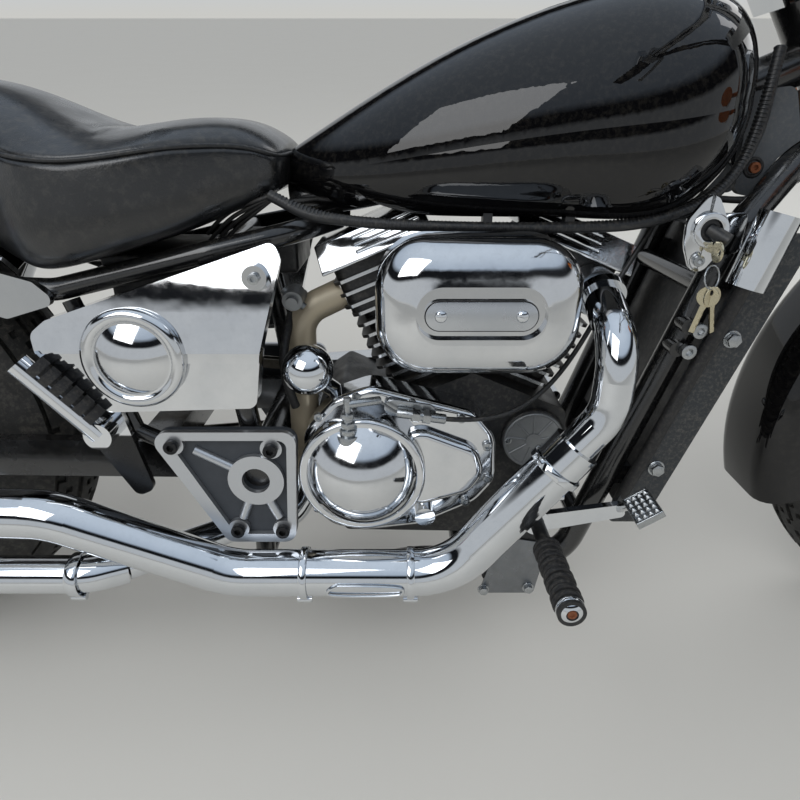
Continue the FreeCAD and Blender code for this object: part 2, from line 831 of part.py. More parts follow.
def radiator():
    core = tilted([(26, 250), (26, 590), (66, 590), (66, 250)], (-118, 118), 4)
    slots = []
    for number in range(13):
        z = 268 + number * 24
        slots.append(tilted([(60, z), (60, z + 14), (70, z + 14), (70, z)], (-104, 104), 1))
    for slot in slots:
        core = core.cut(slot)
    return core


def radiator_cover():
    # Polished cheeks on both ends of the radiator
    cheeks = []
    for side in SIDES.values():
        outline = [(20, 232), (20, 604), (76, 604), (70, 232)]
        cheek = tilted(outline, (side * 118, side * 128), 8)
        cheeks.append(cheek)
    return Part.makeCompound(cheeks)


def horn():
    # A polished barrel outboard of the radiator's upper end, on a short stay
    low = (1146, -150, 552)
    high = (1166, -150, 628)
    stay = rod((1160, -150, 580), (1176, -126, 580), 7)
    return union([rod(low, high, 21), stay]).cut(radiator_cover())


# Tank

TANK_SECTIONS = [
    # x, half width, bottom, shoulder, top
    (642, 34, 648, 662, 684),
    (720, 88, 626, 670, 728),
    (840, 132, 619, 690, 790),
    (970, 154, 619, 708, 836),
    (1060, 150, 624, 718, 850),
    (1122, 118, 656, 730, 838),
    (1152, 70, 700, 744, 806),
]
TANK_INSET = 0.72


def tank_section(x, half, low, shoulder, top):
    # A flat bottom, a round lower edge, full cheeks and one arc over the top
    inset = TANK_INSET * half
    cheek = V(x, -0.96 * half, low + 0.42 * (shoulder - low))
    over = V(x, -0.82 * half, shoulder + 0.62 * (top - shoulder))

    def other(spot):
        return V(spot.x, -spot.y, spot.z)

    a = V(x, -inset, low)
    b = V(x, -half, shoulder)
    c = V(x, 0, top)
    edges = [
        Part.LineSegment(other(a), a),
        Part.Arc(a, cheek, b),
        Part.Arc(b, over, c),
        Part.Arc(c, other(over), other(b)),
        Part.Arc(other(b), other(cheek), other(a)),
    ]
    return Part.Wire([edge.toShape() for edge in edges])


def fuel_tank():
    solid = Part.makeLoft([tank_section(*row) for row in TANK_SECTIONS], True, False)
    saddle = panel([(600, 560), (600, 620), (720, 640), (1080, 712), (1300, 780), (1300, 560)],
                   (-SPINE_R - 4, SPINE_R + 4), 4)
    room = block((724, 1012), (-88, 88), (560, 646))
    return solid.cut(spine(SPINE_R + TUNNEL_GAP)).cut(saddle).cut(room).cut(filler_cap())


def filler_cap():
    return rod((1030, 0, 836), (1031, 0, 856), 34)


# Seats and fenders

SEAT_SECTIONS = [
    # x, half width, bottom, seam, top
    (640, 92, 646, 676, 694),
    (590, 122, 622, 690, 722),
    (470, 168, 584, 680, SEAT_LOW),
    (385, 158, 560, 682, 738),
    (336, 118, 580, 690, 752),
]


def seat_section(x, half, low, seam, top):
    inset = 0.86 * half

    def other(spot):
        return V(spot.x, -spot.y, spot.z)

    a = V(x, -inset, low)
    b = V(x, -half, seam)
    c = V(x, -0.5 * half, top - 0.12 * (top - seam))
    d = V(x, 0, top)
    cheek = V(x, -0.99 * half, (low + seam) / 2)
    roll = V(x, -0.86 * half, seam + 0.6 * (c.z - seam))
    edges = [
        Part.LineSegment(other(a), a), Part.Arc(a, cheek, b), Part.Arc(b, roll, c),
        Part.Arc(c, d, other(c)), Part.Arc(other(c), other(roll), other(b)),
        Part.Arc(other(b), other(cheek), other(a)),
    ]
    return Part.Wire([edge.toShape() for edge in edges])


def seat_rider():
    solid = Part.makeLoft([seat_section(*row) for row in SEAT_SECTIONS], True, False)
    rails = [seat_rail(side, 14.5) for side in SIDES.values()]
    under = block((300, 700), (-96, 96), (520, 650))
    for rail in rails:
        solid = solid.cut(rail)
    return solid.cut(under).cut(spine(SPINE_R + 1))


def fender_centre():
    return (8, REAR_TYRE_R + 12)


REAR_FENDER_R = REAR_TYRE_R + FENDER_GAP
FENDER_TOP = fender_centre()[1] + REAR_FENDER_R


def behind_fender(height):
    # How far forward the fender's rear surface is, that high above its centre
    return fender_centre()[0] - sqrt(REAR_FENDER_R ** 2 - height ** 2)


def under_fender():
    x, z = fender_centre()
    return Part.makeCylinder(REAR_FENDER_R, 400, V(x, -200, z), AXIS_Y)


def arch(x, z, radius, half, span, depth, crown):
    # A mudguard: a curved band with turned-down sides, swept about the wheel
    start, stop = span
    edge = radius - depth
    flat = half * 0.45
    outer = [(edge, -half), (radius - crown, -half), (radius, -flat),
             (radius, flat), (radius - crown, half), (edge, half)]
    inner_half = half - FENDER_T
    inner = [(edge, inner_half), (radius - crown - 1, inner_half),
             (radius - FENDER_T, flat - 1), (radius - FENDER_T, 1 - flat),
             (radius - crown - 1, -inner_half), (edge, -inner_half)]
    spots = [V(x + r, y, z) for r, y in outer + inner]
    wire = Part.makePolygon(spots + [spots[0]])
    solid = Part.Face(wire).revolve(V(x, 0, z), AXIS_Y, -(stop - start))
    solid.rotate(V(x, 0, z), AXIS_Y, -start)
    return solid


def rear_fender():
    x, z = fender_centre()
    return arch(x, z, REAR_FENDER_R, REAR_FENDER_Y, (42, 172), 110, 26)


PILLION_SECTIONS = [
    # x, half width, then bottom, seam and top above the fender's highest point
    (336, 116, -142, -32, 28),
    (290, 106, -122, 2, 44),
    (220, 102, -67, 22, 49),
    (130, 100, -27, 30, 50),
    (50, 96, -14, 26, 44),
    (0, 84, -10, 16, 30),
    (-20, 60, -8, 4, 10),
]


def seat_pillion():
    # The passenger's part of the saddle, that runs up and back along the fender
    sections = [seat_section(x, half, *[FENDER_TOP + height for height in heights])
                for x, half, *heights in PILLION_SECTIONS]
    pad = Part.makeLoft(sections, True, False)
    for side in SIDES.values():
        pad = pad.cut(seat_rail(side, 14.5))
    return pad.cut(under_fender())


def fender_strut(side):
    # A polished bar from the rail along the fender, with the damper's upper stud
    z = FENDER_TOP - 94
    outline = [(392, 530), (368, 554), (120, z), (-80, z), (-90, z - 28), (110, z - 34),
               (330, 512)]
    bar = panel(outline, (-STRUT_Y - 9, -STRUT_Y), 10)
    bolts = [disc(x, z - 15, 9, (-STRUT_Y, -REAR_FENDER_Y)) for x in (100, -60)]
    stud = disc(SHOCK_TOP[0], SHOCK_TOP[1], STUD_R, (-SHOCK_Y - 14, -STRUT_Y))
    clamp = disc(340, 535, 8, (-STRUT_Y, -116))
    return on_side(union([bar, stud, clamp] + bolts).cut(seat_rail(-1)), side)


def tail_lamp():
    # On the fender's rear slope, with a stem for the indicators
    z = fender_centre()[1] + LAMP_UP
    x = behind_fender(LAMP_UP)
    housing = panel([(x + 28, z - 35), (x + 28, z + 35), (x - 54, z + 31), (x - 61, z - 27)],
                    (-42, 42), 12)
    return housing.cut(under_fender())


def rear_lamps():
    solids = [tail_lamp()]
    x = behind_fender(LAMP_UP) + 52
    z = fender_centre()[1] + LAMP_UP
    for side in SIDES.values():
        stem = rod((x, side * REAR_FENDER_Y, z), (x, side * 140, z), 8)
        lamp = rod((x - 26, side * 160, z), (x + 24, side * 160, z), 30)
        solids.append(union([stem, lamp]))
    return Part.makeCompound(solids)


def plate_holder():
    z = fender_centre()[1]
    x = behind_fender(99)
    arm = panel([(x - 8, z + 99), (x - 8, z + 59), (x - 20, z + 3), (x - 14, z + 3),
                 (x, z + 59), (x + 4, z + 99)], (-20, 20), 2)
    board = block((x - 24, x - 16), (-90, 90), (z - 37, z + 83))
    return union([arm, board]).cut(under_fender())


# Side covers and the covers by the swinging arm's bolt

SIDE_COVER = [
    (374, 506), (392, 520), (640, 600), (648, 582), (620, 482), (610, 416), (440, 411),
    (414, 434), (376, 484),
]


SIDE_CURVE_R = 380
SIDE_CURVE_Z = 452
SIDE_STEP_Z = 484


def dome(x, z, radius, height, y):
    # A round cap that swells outward from the plane at y
    ball_r = (height ** 2 + radius ** 2) / (2 * height)
    ball = Part.makeSphere(ball_r, V(x, y - height + ball_r, z))
    return ball.common(disc(x, z, radius, (y - height - 1, y + 2)))


def side_cover(side):
    # The upper half curves in toward the saddle, over a step and a flatter lower half
    cover = panel(SIDE_COVER, (-180, -145), 12)
    front = run([(340, -190, 400), (340, -140, 400), (650, -140, 400), (650, -178, 400)], 26,
                closed=True)
    cover = cover.common(Part.Face(front).extrude(V(0, 0, 220)))
    curve = Part.makeCylinder(SIDE_CURVE_R, 400, V(300, SIDE_CURVE_R - 175, SIDE_CURVE_Z), AXIS_X)
    upper = cover.common(curve).common(block((300, 700), (-190, -140), (SIDE_STEP_Z, 620)))
    lower = cover.common(block((300, 700), (-168, -140), (400, SIDE_STEP_Z)))
    step = cover.common(block((300, 700), (-172, -140), (SIDE_STEP_Z - 12, SIDE_STEP_Z)))
    x, z = 483, 479
    ring = Part.makeTorus(49, 8, V(x, -175, z), AXIS_Y)
    seat = disc(x, z, 49, (-180, -150))
    lock = disc(622, 566, 13, (-170, -150))
    post = disc(584, 430, 10, (-150, -136))
    parts = [upper, lower, step, ring, seat, dome(x, z, 42, 14, -179), lock, post]
    return on_side(union(parts).cut(upright(-1)), side)


PIVOT_COVER = [(474, 384), (652, 384), (642, 228), (556, 228)]


def pivot_cover(side):
    # A flat plate with sunk fields, a round boss and four bolt bosses
    y = (-158, -150)
    plate = panel(PIVOT_COVER, y, 16)
    rim = panel(PIVOT_COVER, (-166, -158), 16)
    field = panel([(500, 373), (640, 373), (632, 240), (566, 240)], (-168, -157), 10)
    solids = [plate, rim.cut(field), disc(PIVOT_X, PIVOT_Z, 34, (-166, -158))]
    for x, z in ((505, 367), (621, 362), (571, 248), (627, 247)):
        solids.append(disc(x, z, 13, (-166, -158)))
    for x, z in ((528, 358), (612, 352), (577, 262), (622, 262)):
        solids.append(rod((PIVOT_X, -159.5, PIVOT_Z), (x, -159.5, z), 6))
    solid = union(solids)
    return on_side(solid.cut(disc(PIVOT_X, PIVOT_Z, 17, (-170, -149.9))), side)


def breather():
    # The polished ball-shaped cap behind the cylinders, on its black stem
    ball = Part.makeSphere(30, V(667, -140, 453))
    stem = rod((668, -136, 446), (690, -92, 408), 11)
    return union([ball, stem]).cut(crankcase()).cut(clutch_case())


# Steering

def fork():
    # Two legs, the clamps that carry them and the stem through the steering head
    solids = []
    for side in SIDES.values():
        y = side * FORK_Y
        solids.append(rod(on_fork(AXLE_UP - 16, OFFSET, y), on_fork(AXLE_UP + 300, OFFSET, y),
                          FORK_TUBE_R))
        solids.append(rod(on_fork(AXLE_UP + 300, OFFSET, y), on_fork(HEAD_HIGH + 46, OFFSET, y),
                          FORK_SLEEVE_R))
        solids.append(rod(on_fork(AXLE_UP - 30, OFFSET, y), on_fork(AXLE_UP + 34, OFFSET, y), 25))
    for low, high in ((HEAD_LOW - 36, HEAD_LOW - 2), (HEAD_HIGH + 2, HEAD_HIGH + 30)):
        outline = [(-34, -34), (-34, 34), (OFFSET - 26, FORK_Y + 32), (OFFSET + 34, FORK_Y + 32),
                   (OFFSET + 34, -FORK_Y - 32), (OFFSET - 26, -FORK_Y - 32)]
        solids.append(across_fork(outline, (low, high)))
    solids.append(rod(on_fork(HEAD_LOW - 10, 0), on_fork(HEAD_HIGH + 40, 0), STEM_R))
    solids.append(front_axle())
    return union(solids).cut(disc(WHEELBASE, FRONT_TYRE_R, AXLE_BORE_R, (-160, 160)))


def front_axle():
    shaft = disc(WHEELBASE, FRONT_TYRE_R, AXLE_R - 0.3, (-132, 132))
    spacers = [disc(WHEELBASE, FRONT_TYRE_R, 16, (side * 60, side * 78)) for side in (-1, 1)]
    nuts = [disc(WHEELBASE, FRONT_TYRE_R, 15, (side * 120, side * 132)) for side in (-1, 1)]
    return union([shaft] + nuts + spacers)


def caliper():
    # Held to the right leg, with a gap for the disc
    mid = V(WHEELBASE, 0, FRONT_TYRE_R) + UP * 116 - AHEAD * 58
    body = block((mid.x - 34, mid.x + 34), (-76, -26), (mid.z - 26, mid.z + 30))
    slot = disc(WHEELBASE, FRONT_TYRE_R, DISC_R + 4, (-56, -45))
    leg = V(WHEELBASE, 0, FRONT_TYRE_R) + UP * 116
    lug = panel([(mid.x - 20, mid.z - 16), (mid.x - 20, mid.z + 20), (leg.x, leg.z + 14),
                 (leg.x, leg.z - 22)], (-90, -70), 6)
    body = softened(body, 6, lambda edge: edge.Length > 40)
    return union([body, lug]).cut(slot).cut(fork())


def front_fender():
    half = FRONT_FENDER_Y
    solid = arch(WHEELBASE, FRONT_TYRE_R, FRONT_TYRE_R + 36, half, (30, 188), 46, 22)
    solids = [solid]
    for side in SIDES.values():
        up = AXLE_UP + FRONT_TYRE_R + 2
        inner = on_fork(up, OFFSET, side * (half - 1))
        outer = on_fork(up, OFFSET, side * (FORK_Y - FORK_SLEEVE_R + 2))
        solids.append(rod(inner, outer, 16))
    return union(solids).cut(fork())


def handlebar():
    # A bar with a low middle, swept back to the grips
    middle = V(*on_fork(HEAD_HIGH + 118, OFFSET - 40))
    x, z = middle.x, middle.z
    points = [(x - 150, -BAR_REACH, z + 12), (x - 70, -BAR_REACH + 150, z + 36),
              (x + 4, -150, z + 40), (x, -80, z), (x, 80, z), (x + 4, 150, z + 40),
              (x - 70, BAR_REACH - 150, z + 36), (x - 150, BAR_REACH, z + 12)]
    bar = tube(points, BAR_R, 70)
    risers = [rod(on_fork(HEAD_HIGH + 30, OFFSET - 40, y), on_fork(HEAD_HIGH + 118, OFFSET - 40, y),
                  16) for y in (-50, 50)]
    holes = [rod(bar_line(side, -2), bar_line(side, BAR_END_DEPTH), BAR_END_R)
             for side in SIDES.values()]
    return union([bar] + risers).cut(holes)


def bar_line(side, distance):
    # A place on the bar's outer run, counted in from its end
    middle = V(*on_fork(HEAD_HIGH + 118, OFFSET - 40))
    end = V(middle.x - 150, side * BAR_REACH, middle.z + 12)
    inner = V(middle.x - 70, side * (BAR_REACH - 150), middle.z + 36)
    return tuple(end + (inner - end).normalize() * distance)


def grips():
    solids = []
    for side in SIDES.values():
        grip = rod(bar_line(side, -8), bar_line(side, 112), 17)
        grip = grip.cut(rod(bar_line(side, 0), bar_line(side, 130), BAR_R))
        solids.append(grip.cut(rod(bar_line(side, -10), bar_line(side, 1), BAR_END_R + 1)))
    return Part.makeCompound(solids)


def perch(side):
    return rod(bar_line(side, 150), bar_line(side, 121), 20)


def levers():
    # Perches with their levers, the fluid box on the right
    solids = []
    for side in SIDES.values():
        inner = V(*bar_line(side, 150))
        outer = V(*bar_line(side, 121))
        root = (inner + outer) * 0.5 + V(34, 0, -6)
        tip = V(*bar_line(side, -6)) + V(62, 0, -10)
        arm = rod(tuple(root), tuple(tip), 6)
        knuckle = rod(tuple((inner + outer) * 0.5 + V(0, 0, -2)), tuple(root), 10)
        ball = Part.makeSphere(9, tip)
        piece = [perch(side), knuckle, arm, ball]
        if side < 0:
            spot = (inner + outer) * 0.5
            piece.append(block((spot.x - 2, spot.x + 44), (spot.y - 24, spot.y + 30),
                               (spot.z + 17, spot.z + 44)))
        bar = rod(bar_line(side, 0), bar_line(side, 200), BAR_R + 0.1)
        solids.append(union(piece).cut(bar))
    return Part.makeCompound(solids)


def mirrors():
    solids = []
    for side in SIDES.values():
        foot = V(*bar_line(side, 134)) + V(-16, 0, 14)
        knee = foot + V(4, side * 6, 30)
        top = foot + V(0, side * 42, 56)
        stem = tube([tuple(foot), tuple(knee), tuple(top)], 5, 30)
        glass = panel([(top.x - 8, top.z - 34), (top.x - 8, top.z + 36), (top.x + 14, top.z + 30),
                       (top.x + 14, top.z - 28)], (top.y - side * 36, top.y + side * 66), 6)
        solids.append(union([stem, glass]).cut(perch(side)))
    return Part.makeCompound(solids)


def headlamp():
    x, z = on_fork(HEAD_LOW + 60, 160)[0::2]
    bowl = Part.makeCone(40, 92, 84, V(x - 60, 0, z), AXIS_X)
    ring = rod((x + 24, 0, z), (x + 58, 0, z), 95)
    low, high = on_fork(HEAD_LOW - 10, 30), on_fork(HEAD_LOW - 10, 62)
    stay = panel([(low[0], low[2]), (x - 56, z - 24), (x - 20, z - 46), (high[0], high[2])],
                 (-14, 14), 4)
    return union([bowl, ring, stay]).cut(fork())


def speedometer():
    middle = V(*on_fork(HEAD_HIGH + 74, OFFSET + 46))
    pod = rod(tuple(middle), tuple(middle + V(-24, 0, 42)), 46)
    stay = rod(on_fork(HEAD_HIGH + 30, OFFSET + 18), tuple(middle), 9)
    return union([pod, stay]).cut(fork())


def front_indicators():
    solids = []
    for side in SIDES.values():
        foot = on_fork(HEAD_LOW + 60, OFFSET, side * (FORK_Y + FORK_SLEEVE_R))
        stem = rod(foot, (foot[0], side * 168, foot[2]), 8)
        lamp = rod((foot[0] - 24, side * 186, foot[2]), (foot[0] + 26, side * 186, foot[2]), 30)
        solids.append(union([stem, lamp]))
    return Part.makeCompound(solids)


# Feet: pegs, pedal, gear lever and stand

def peg_bracket(side):
    plate = panel([(884, 136), (900, 196), (928, 262), (964, 268), (966, 236), (944, 136)],
                  (-131, -123), 10)
    spacer = rod((920, -123, 150), (920, -CRADLE_Y - TUBE_R + 3, 150), 12)
    arm = rod((947, -131, 252), (947, -214, 256), 9)
    solid = union([plate, spacer, arm])
    rail = rod((860, -CRADLE_Y, RAIL_Z), (990, -CRADLE_Y, RAIL_Z), TUBE_R)
    return on_side(solid.cut(rail).cut(downtube(-1)), side)


def rider_peg(side):
    core = rod((947, -214, 256), (947, -318, 261.4), PEG_R)
    cap = rod((947, -318, 261.4), (947, -328, 262), PEG_R + 1)
    return on_side(union([core, cap]), side)


def brake_pedal():
    arm = panel([(954, 240), (950, 264), (1054, 280), (1058, 262)], (-160, -150), 6)
    hub = rod((947, -148, 252.8), (947, -162, 253.5), 17)
    pad = block((1043, 1073), (-226, -178), (298, 306))
    pad.rotate(V(1058, -202, 302), AXIS_Y, -34)
    neck = rod((1050, -153, 270), (1053, -186, 298), 6)
    bore = rod((947, -140, 252.4), (947, -170, 253.9), 9.4)
    return union([arm, hub, pad, neck]).cut(bore)


def gear_lever():
    arm = panel([(954, 262), (950, 284), (1040, 300), (1044, 282)], (-160, -150), 6)
    hub = rod((947, -148, 252.8), (947, -162, 253.5), 17, 9.4)
    toe = rod((1040, -152, 292), (1040, -226, 292), 9)
    return mirrored(union([arm, hub, toe]))


def foot_rest(side):
    return union([peg_bracket(side), rider_peg(side)])


def passenger_peg(side):
    # Folded up against its bracket
    root = (430, -176, 388)
    tip = (362, -186, 478)
    peg = rod(root, tip, 13)
    block_end = disc(430, 388, 16, (-186, -156))
    plate = panel([(404, 372), (404, 404), (446, 414), (470, 300), (448, 290)], (-156, -148), 10)
    post = disc(446, 366, 10, (-148, -138))
    solid = union([peg, block_end, plate, post]).cut(frame_uprights())
    return on_side(solid, side)


# The stand folds back about a tilted pin, so that its foot also comes in toward the rail
HINGE_LINE = V(-0.271, 0.952, 0.14).normalize()
FOOT_X = 852
FOOT_Y = 262


def on_hinge(distance):
    return tuple(V(*STAND_HINGE) + HINGE_LINE * distance)


def foot_height(y):
    # How high above the upright machine's ground the floor is at y, once it leans
    lift = CROWN_R * (1 - cos(radians(LEAN)))
    return y * tan(radians(LEAN)) - lift / cos(radians(LEAN))


def side_stand():
    z = foot_height(FOOT_Y)
    knee = (FOOT_X - 8, FOOT_Y - 26, z + 34)
    leg = tube([STAND_HINGE, knee, (FOOT_X, FOOT_Y, z + 6)], 10, 50)
    hub = rod(on_hinge(-6), on_hinge(9), 18)
    pad = Part.makeCylinder(24, 8, V(FOOT_X, FOOT_Y, z), AXIS_Z)
    pad.rotate(V(FOOT_X, FOOT_Y, z), AXIS_X, LEAN)
    solid = union([leg, hub, pad])
    return solid.cut(rod(on_hinge(-40), on_hinge(15), STAND_PIN_R + 0.3))


# Small fittings by the steering head

def ignition_switch():
    lock = rod((1108, -110, 601), (1101, -140, 593), 22)
    stay = panel([(1096, 572), (1086, 622), (1150, 626), (1150, 584)], (-119, -111), 8)
    return union([lock, stay]).cut(downtube(-1))


def neck_cover(side):
    outline = [(1162, 640), (1158, 745), (1206, 752), (1228, 690), (1214, 630)]
    cover = panel(outline, (-56, -46), 12)
    cover = union([cover, rod((1204, -46, 708), (1204, -4, 708), 7)])
    return on_side(cover.cut(downtube(-1, TUBE_R + 1)), side)


def conduit():
    # The ribbed sleeve round the wires, along the tank's lower edge
    points = [(630, -96, 642), (672, -104, 620), (760, -106, 611), (900, -112, 608),
              (1040, -112, 611), (1120, -98, 636), (1164, -78, 694), (1172, -68, 786)]
    clips = [block((x - 5, x + 5), (-112, -94), (605, 624)) for x in (870, 960)]
    sleeve = tube(points, CONDUIT_R)
    return union([sleeve] + [clip.cut(fuel_tank()) for clip in clips])


# All pieces, by the name of their node

PIECES = {
    "frame_backbone": frame_backbone,
    "frame_downtubes": frame_downtubes,
    "frame_lower_rails": frame_lower_rails,
    "frame_uprights": frame_uprights,
    "frame_seat_rails": frame_seat_rails,
    "swingarm": swingarm,
    "rear_axle": rear_axle,
    "shocks": shocks,
    "crankcase": crankcase,
    "cylinder_rear": lambda: cylinder(-1),
    "cylinder_front": lambda: cylinder(1),
    "head_covers": lambda: pair(head_cover),
    "clutch_case": clutch_case,
    "clutch_cover": clutch_cover,
    "generator_cover": generator_cover,
    "sprocket_cover": sprocket_cover,
    "chain": chain,
    "air_cleaner": air_cleaner,
    "air_box": air_box,
    "intake_cover": intake_cover,
    "exhaust_front": exhaust_front,
    "exhaust_rear": exhaust_rear,
    "radiator": radiator,
    "radiator_cheeks": radiator_cover,
    "horn": horn,
    "fuel_tank": fuel_tank,
    "filler_cap": filler_cap,
    "seat_rider": seat_rider,
    "seat_pillion": seat_pillion,
    "rear_fender": rear_fender,
    "fender_struts": lambda: pair(fender_strut),
    "rear_lamps": rear_lamps,
    "plate_holder": plate_holder,
    "side_covers": lambda: pair(side_cover),
    "pivot_covers": lambda: pair(pivot_cover),
    "breather": breather,
    "foot_rests": lambda: pair(foot_rest),
    "foot_levers": lambda: Part.makeCompound([brake_pedal(), gear_lever()]),
    "passenger_pegs": lambda: pair(passenger_peg),
    "ignition_switch": ignition_switch,
    "neck_covers": lambda: pair(neck_cover),
    "conduit": conduit,
    "side_stand": side_stand,
    "fork": fork,
    "caliper": caliper,
    "front_fender": front_fender,
    "handlebar": handlebar,
    "grips": grips,
    "levers": levers,
    "mirrors": mirrors,
    "headlamp": headlamp,
    "speedometer": speedometer,
    "front_indicators": front_indicators,
    "front_wheel": front_wheel,
    "front_tyre": front_tyre,
    "front_disc": front_disc,
    "rear_wheel": rear_wheel,
    "rear_tyre": rear_tyre,
}


def parked(solid):
    # Lean the machine to the left on the round of its tyres, then move the origin
    leaned = solid.copy()
    leaned.rotate(V(0, 0, 0), AXIS_X, -LEAN)
    lift = CROWN_R * (1 - cos(radians(LEAN)))
    leaned.translate(V(-ORIGIN_X, -ORIGIN_Y, lift))
    return leaned


def main():
    os.makedirs("parts", exist_ok=True)
    for name, build in PIECES.items():
        parked(build()).exportStep("parts/" + name + ".step")


main()
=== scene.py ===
import bpy
import bmesh
from math import atan2, copysign, cos, pi, radians, sin, sqrt
from mathutils import Matrix, Vector


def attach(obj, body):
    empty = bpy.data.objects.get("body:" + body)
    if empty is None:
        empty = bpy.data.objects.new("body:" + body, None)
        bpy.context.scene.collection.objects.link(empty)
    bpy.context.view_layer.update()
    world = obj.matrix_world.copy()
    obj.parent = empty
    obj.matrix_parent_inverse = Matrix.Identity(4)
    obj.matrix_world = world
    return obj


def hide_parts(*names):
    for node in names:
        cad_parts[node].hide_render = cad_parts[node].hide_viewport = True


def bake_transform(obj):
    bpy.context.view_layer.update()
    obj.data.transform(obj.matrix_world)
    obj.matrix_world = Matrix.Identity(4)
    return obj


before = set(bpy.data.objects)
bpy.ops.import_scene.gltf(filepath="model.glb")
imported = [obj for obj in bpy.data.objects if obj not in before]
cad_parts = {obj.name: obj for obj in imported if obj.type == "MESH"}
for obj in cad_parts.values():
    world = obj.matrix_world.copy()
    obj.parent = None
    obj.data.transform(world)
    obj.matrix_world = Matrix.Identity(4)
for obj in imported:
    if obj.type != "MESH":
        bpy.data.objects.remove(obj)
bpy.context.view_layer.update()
print("frame loaded with", len(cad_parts), "nodes")

# The machine is drawn upright in millimetres, as in the source: x forward from the rear axle,
# y to its left, z up from the ground. It is then leaned on its side stand.
stance = {"leanDegrees": 10, "shiftX": 0.781, "shiftY": 0.151, "crownRadius": 0.075}
leanAngle = radians(stance["leanDegrees"])
leanCos, leanSin = cos(leanAngle), sin(leanAngle)
toStand = Matrix((
    (1, 0, 0, -stance["shiftX"]),
    (0, leanCos, leanSin, -stance["shiftY"]),
    (0, -leanSin, leanCos, stance["crownRadius"] * (1 - leanCos)),
    (0, 0, 0, 1)))
bothSides = ((-1, "Right"), (1, "Left"))
onItsSide = (pi / 2, 0, 0)


def mm(*lengths):
    # millimetres to metres, as one number or a vector
    return lengths[0] / 1000 if len(lengths) == 1 else Vector(lengths) / 1000


def around(centre, radius, turn, y):
    # a place on an upright circle, y to the side of the machine's middle
    return centre[0] + radius * cos(turn), y, centre[1] + radius * sin(turn)


# Camera: square to the machine's right side, looking down

cameraSetup = {"place": (-0.007, -0.808, 0.832), "downDegrees": 34, "lens": 27, "sensor": 36,
               "farEnd": 200}
bpy.ops.object.camera_add(location=cameraSetup["place"],
                          rotation=(radians(90 - cameraSetup["downDegrees"]), 0, 0))
camera = bpy.context.object
camera.data.lens = cameraSetup["lens"]
camera.data.sensor_width = cameraSetup["sensor"]
camera.data.clip_end = cameraSetup["farEnd"]
bpy.context.scene.camera = camera


# Modelling helpers, which take millimetres

def choose(*pieces):
    # the pieces alone are selected, the first one active
    if bpy.context.object and bpy.context.object.mode != "OBJECT":
        bpy.ops.object.mode_set(mode="OBJECT")
    bpy.ops.object.select_all(action="DESELECT")
    for piece in pieces:
        piece.select_set(True)
    bpy.context.view_layer.objects.active = pieces[0]


def openMesh(piece):
    # into edit mode with the whole piece selected
    choose(piece)
    bpy.ops.object.mode_set(mode="EDIT")
    bpy.ops.mesh.select_all(action="SELECT")


def closeMesh(outward=False):
    if outward:
        bpy.ops.mesh.select_all(action="SELECT")
        bpy.ops.mesh.normals_make_consistent(inside=False)
    bpy.ops.object.mode_set(mode="OBJECT")


def pickFaces(piece, test):
    # into edit mode with the faces selected that pass the test
    choose(piece)
    bpy.ops.object.mode_set(mode="EDIT")
    bpy.ops.mesh.select_mode(type="FACE")
    bpy.ops.mesh.select_all(action="DESELECT")
    bpy.ops.object.mode_set(mode="OBJECT")
    for face in piece.data.polygons:
        face.select = test(face.center, face.normal)
    bpy.ops.object.mode_set(mode="EDIT")


def extrude(*way):
    bpy.ops.mesh.extrude_region_move(TRANSFORM_OT_translate={"value": mm(*way)})


def applyModifier(piece, kind, **settings):
    choose(piece)
    modifier = piece.modifiers.new(kind.title(), kind)
    for key, value in settings.items():
        setattr(modifier, key, value)
    bpy.ops.object.modifier_apply(modifier=modifier.name)


def bevelPiece(piece, width, segments=2, angle=30):
    applyModifier(piece, "BEVEL", width=mm(width), segments=segments, limit_method="ANGLE",
                  angle_limit=radians(angle))


def cutWith(piece, cutter):
    applyModifier(piece, "BOOLEAN", operation="DIFFERENCE", solver="EXACT", object=cutter)
    bpy.data.objects.remove(cutter)


def joined(pieces):
    choose(*pieces)
    if len(pieces) > 1:
        bpy.ops.object.join()
    return bpy.context.object


def copied(piece, placement):
    # a copy with its own mesh, put in place
    copy = piece.copy()
    copy.data = piece.data.copy()
    bpy.context.scene.collection.objects.link(copy)
    copy.data.transform(placement)
    copy.matrix_world = Matrix.Identity(4)
    return copy


def facing(place, direction, size=1.0, roll=0.0):
    # a placement whose z axis looks along a direction
    turn = Vector(direction).to_track_quat("Z", "Y").to_matrix().to_4x4()
    return (Matrix.Translation(place) @ turn @ Matrix.Rotation(radians(roll), 4, "Z")
            @ Matrix.Scale(size, 4))


def placed(place, degrees, axis):
    # a turn about an axis, then a move to a place
    return Matrix.Translation(mm(*place)) @ Matrix.Rotation(radians(degrees), 4, axis)


def settle(piece):
    # puts the place into the mesh
    choose(piece)
    bpy.ops.object.transform_apply(location=True, rotation=True, scale=True)
    return piece


def dressed(piece, name, finish, smooth):
    # leaned with the machine, smoothed, named and given its finish
    settle(piece).data.transform(toStand)
    choose(piece)
    bpy.ops.object.shade_smooth_by_angle(angle=radians(smooth))
    piece.name = piece.data.name = name
    piece.data.materials.clear()
    piece.data.materials.append(finishes[finish])
    return piece


def finishPiece(piece, name, finish, body="chassis", smooth=35):
    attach(dressed(piece, name, finish, smooth), body)
    return piece


def roundBar(start, end, radius, sides=32):
    # a round bar between two places
    start, end = mm(*start), mm(*end)
    along = end - start
    bpy.ops.mesh.primitive_cylinder_add(vertices=sides, radius=mm(radius), depth=along.length)
    bar = bpy.context.object
    bar.data.transform(facing((start + end) / 2, along))
    return bar


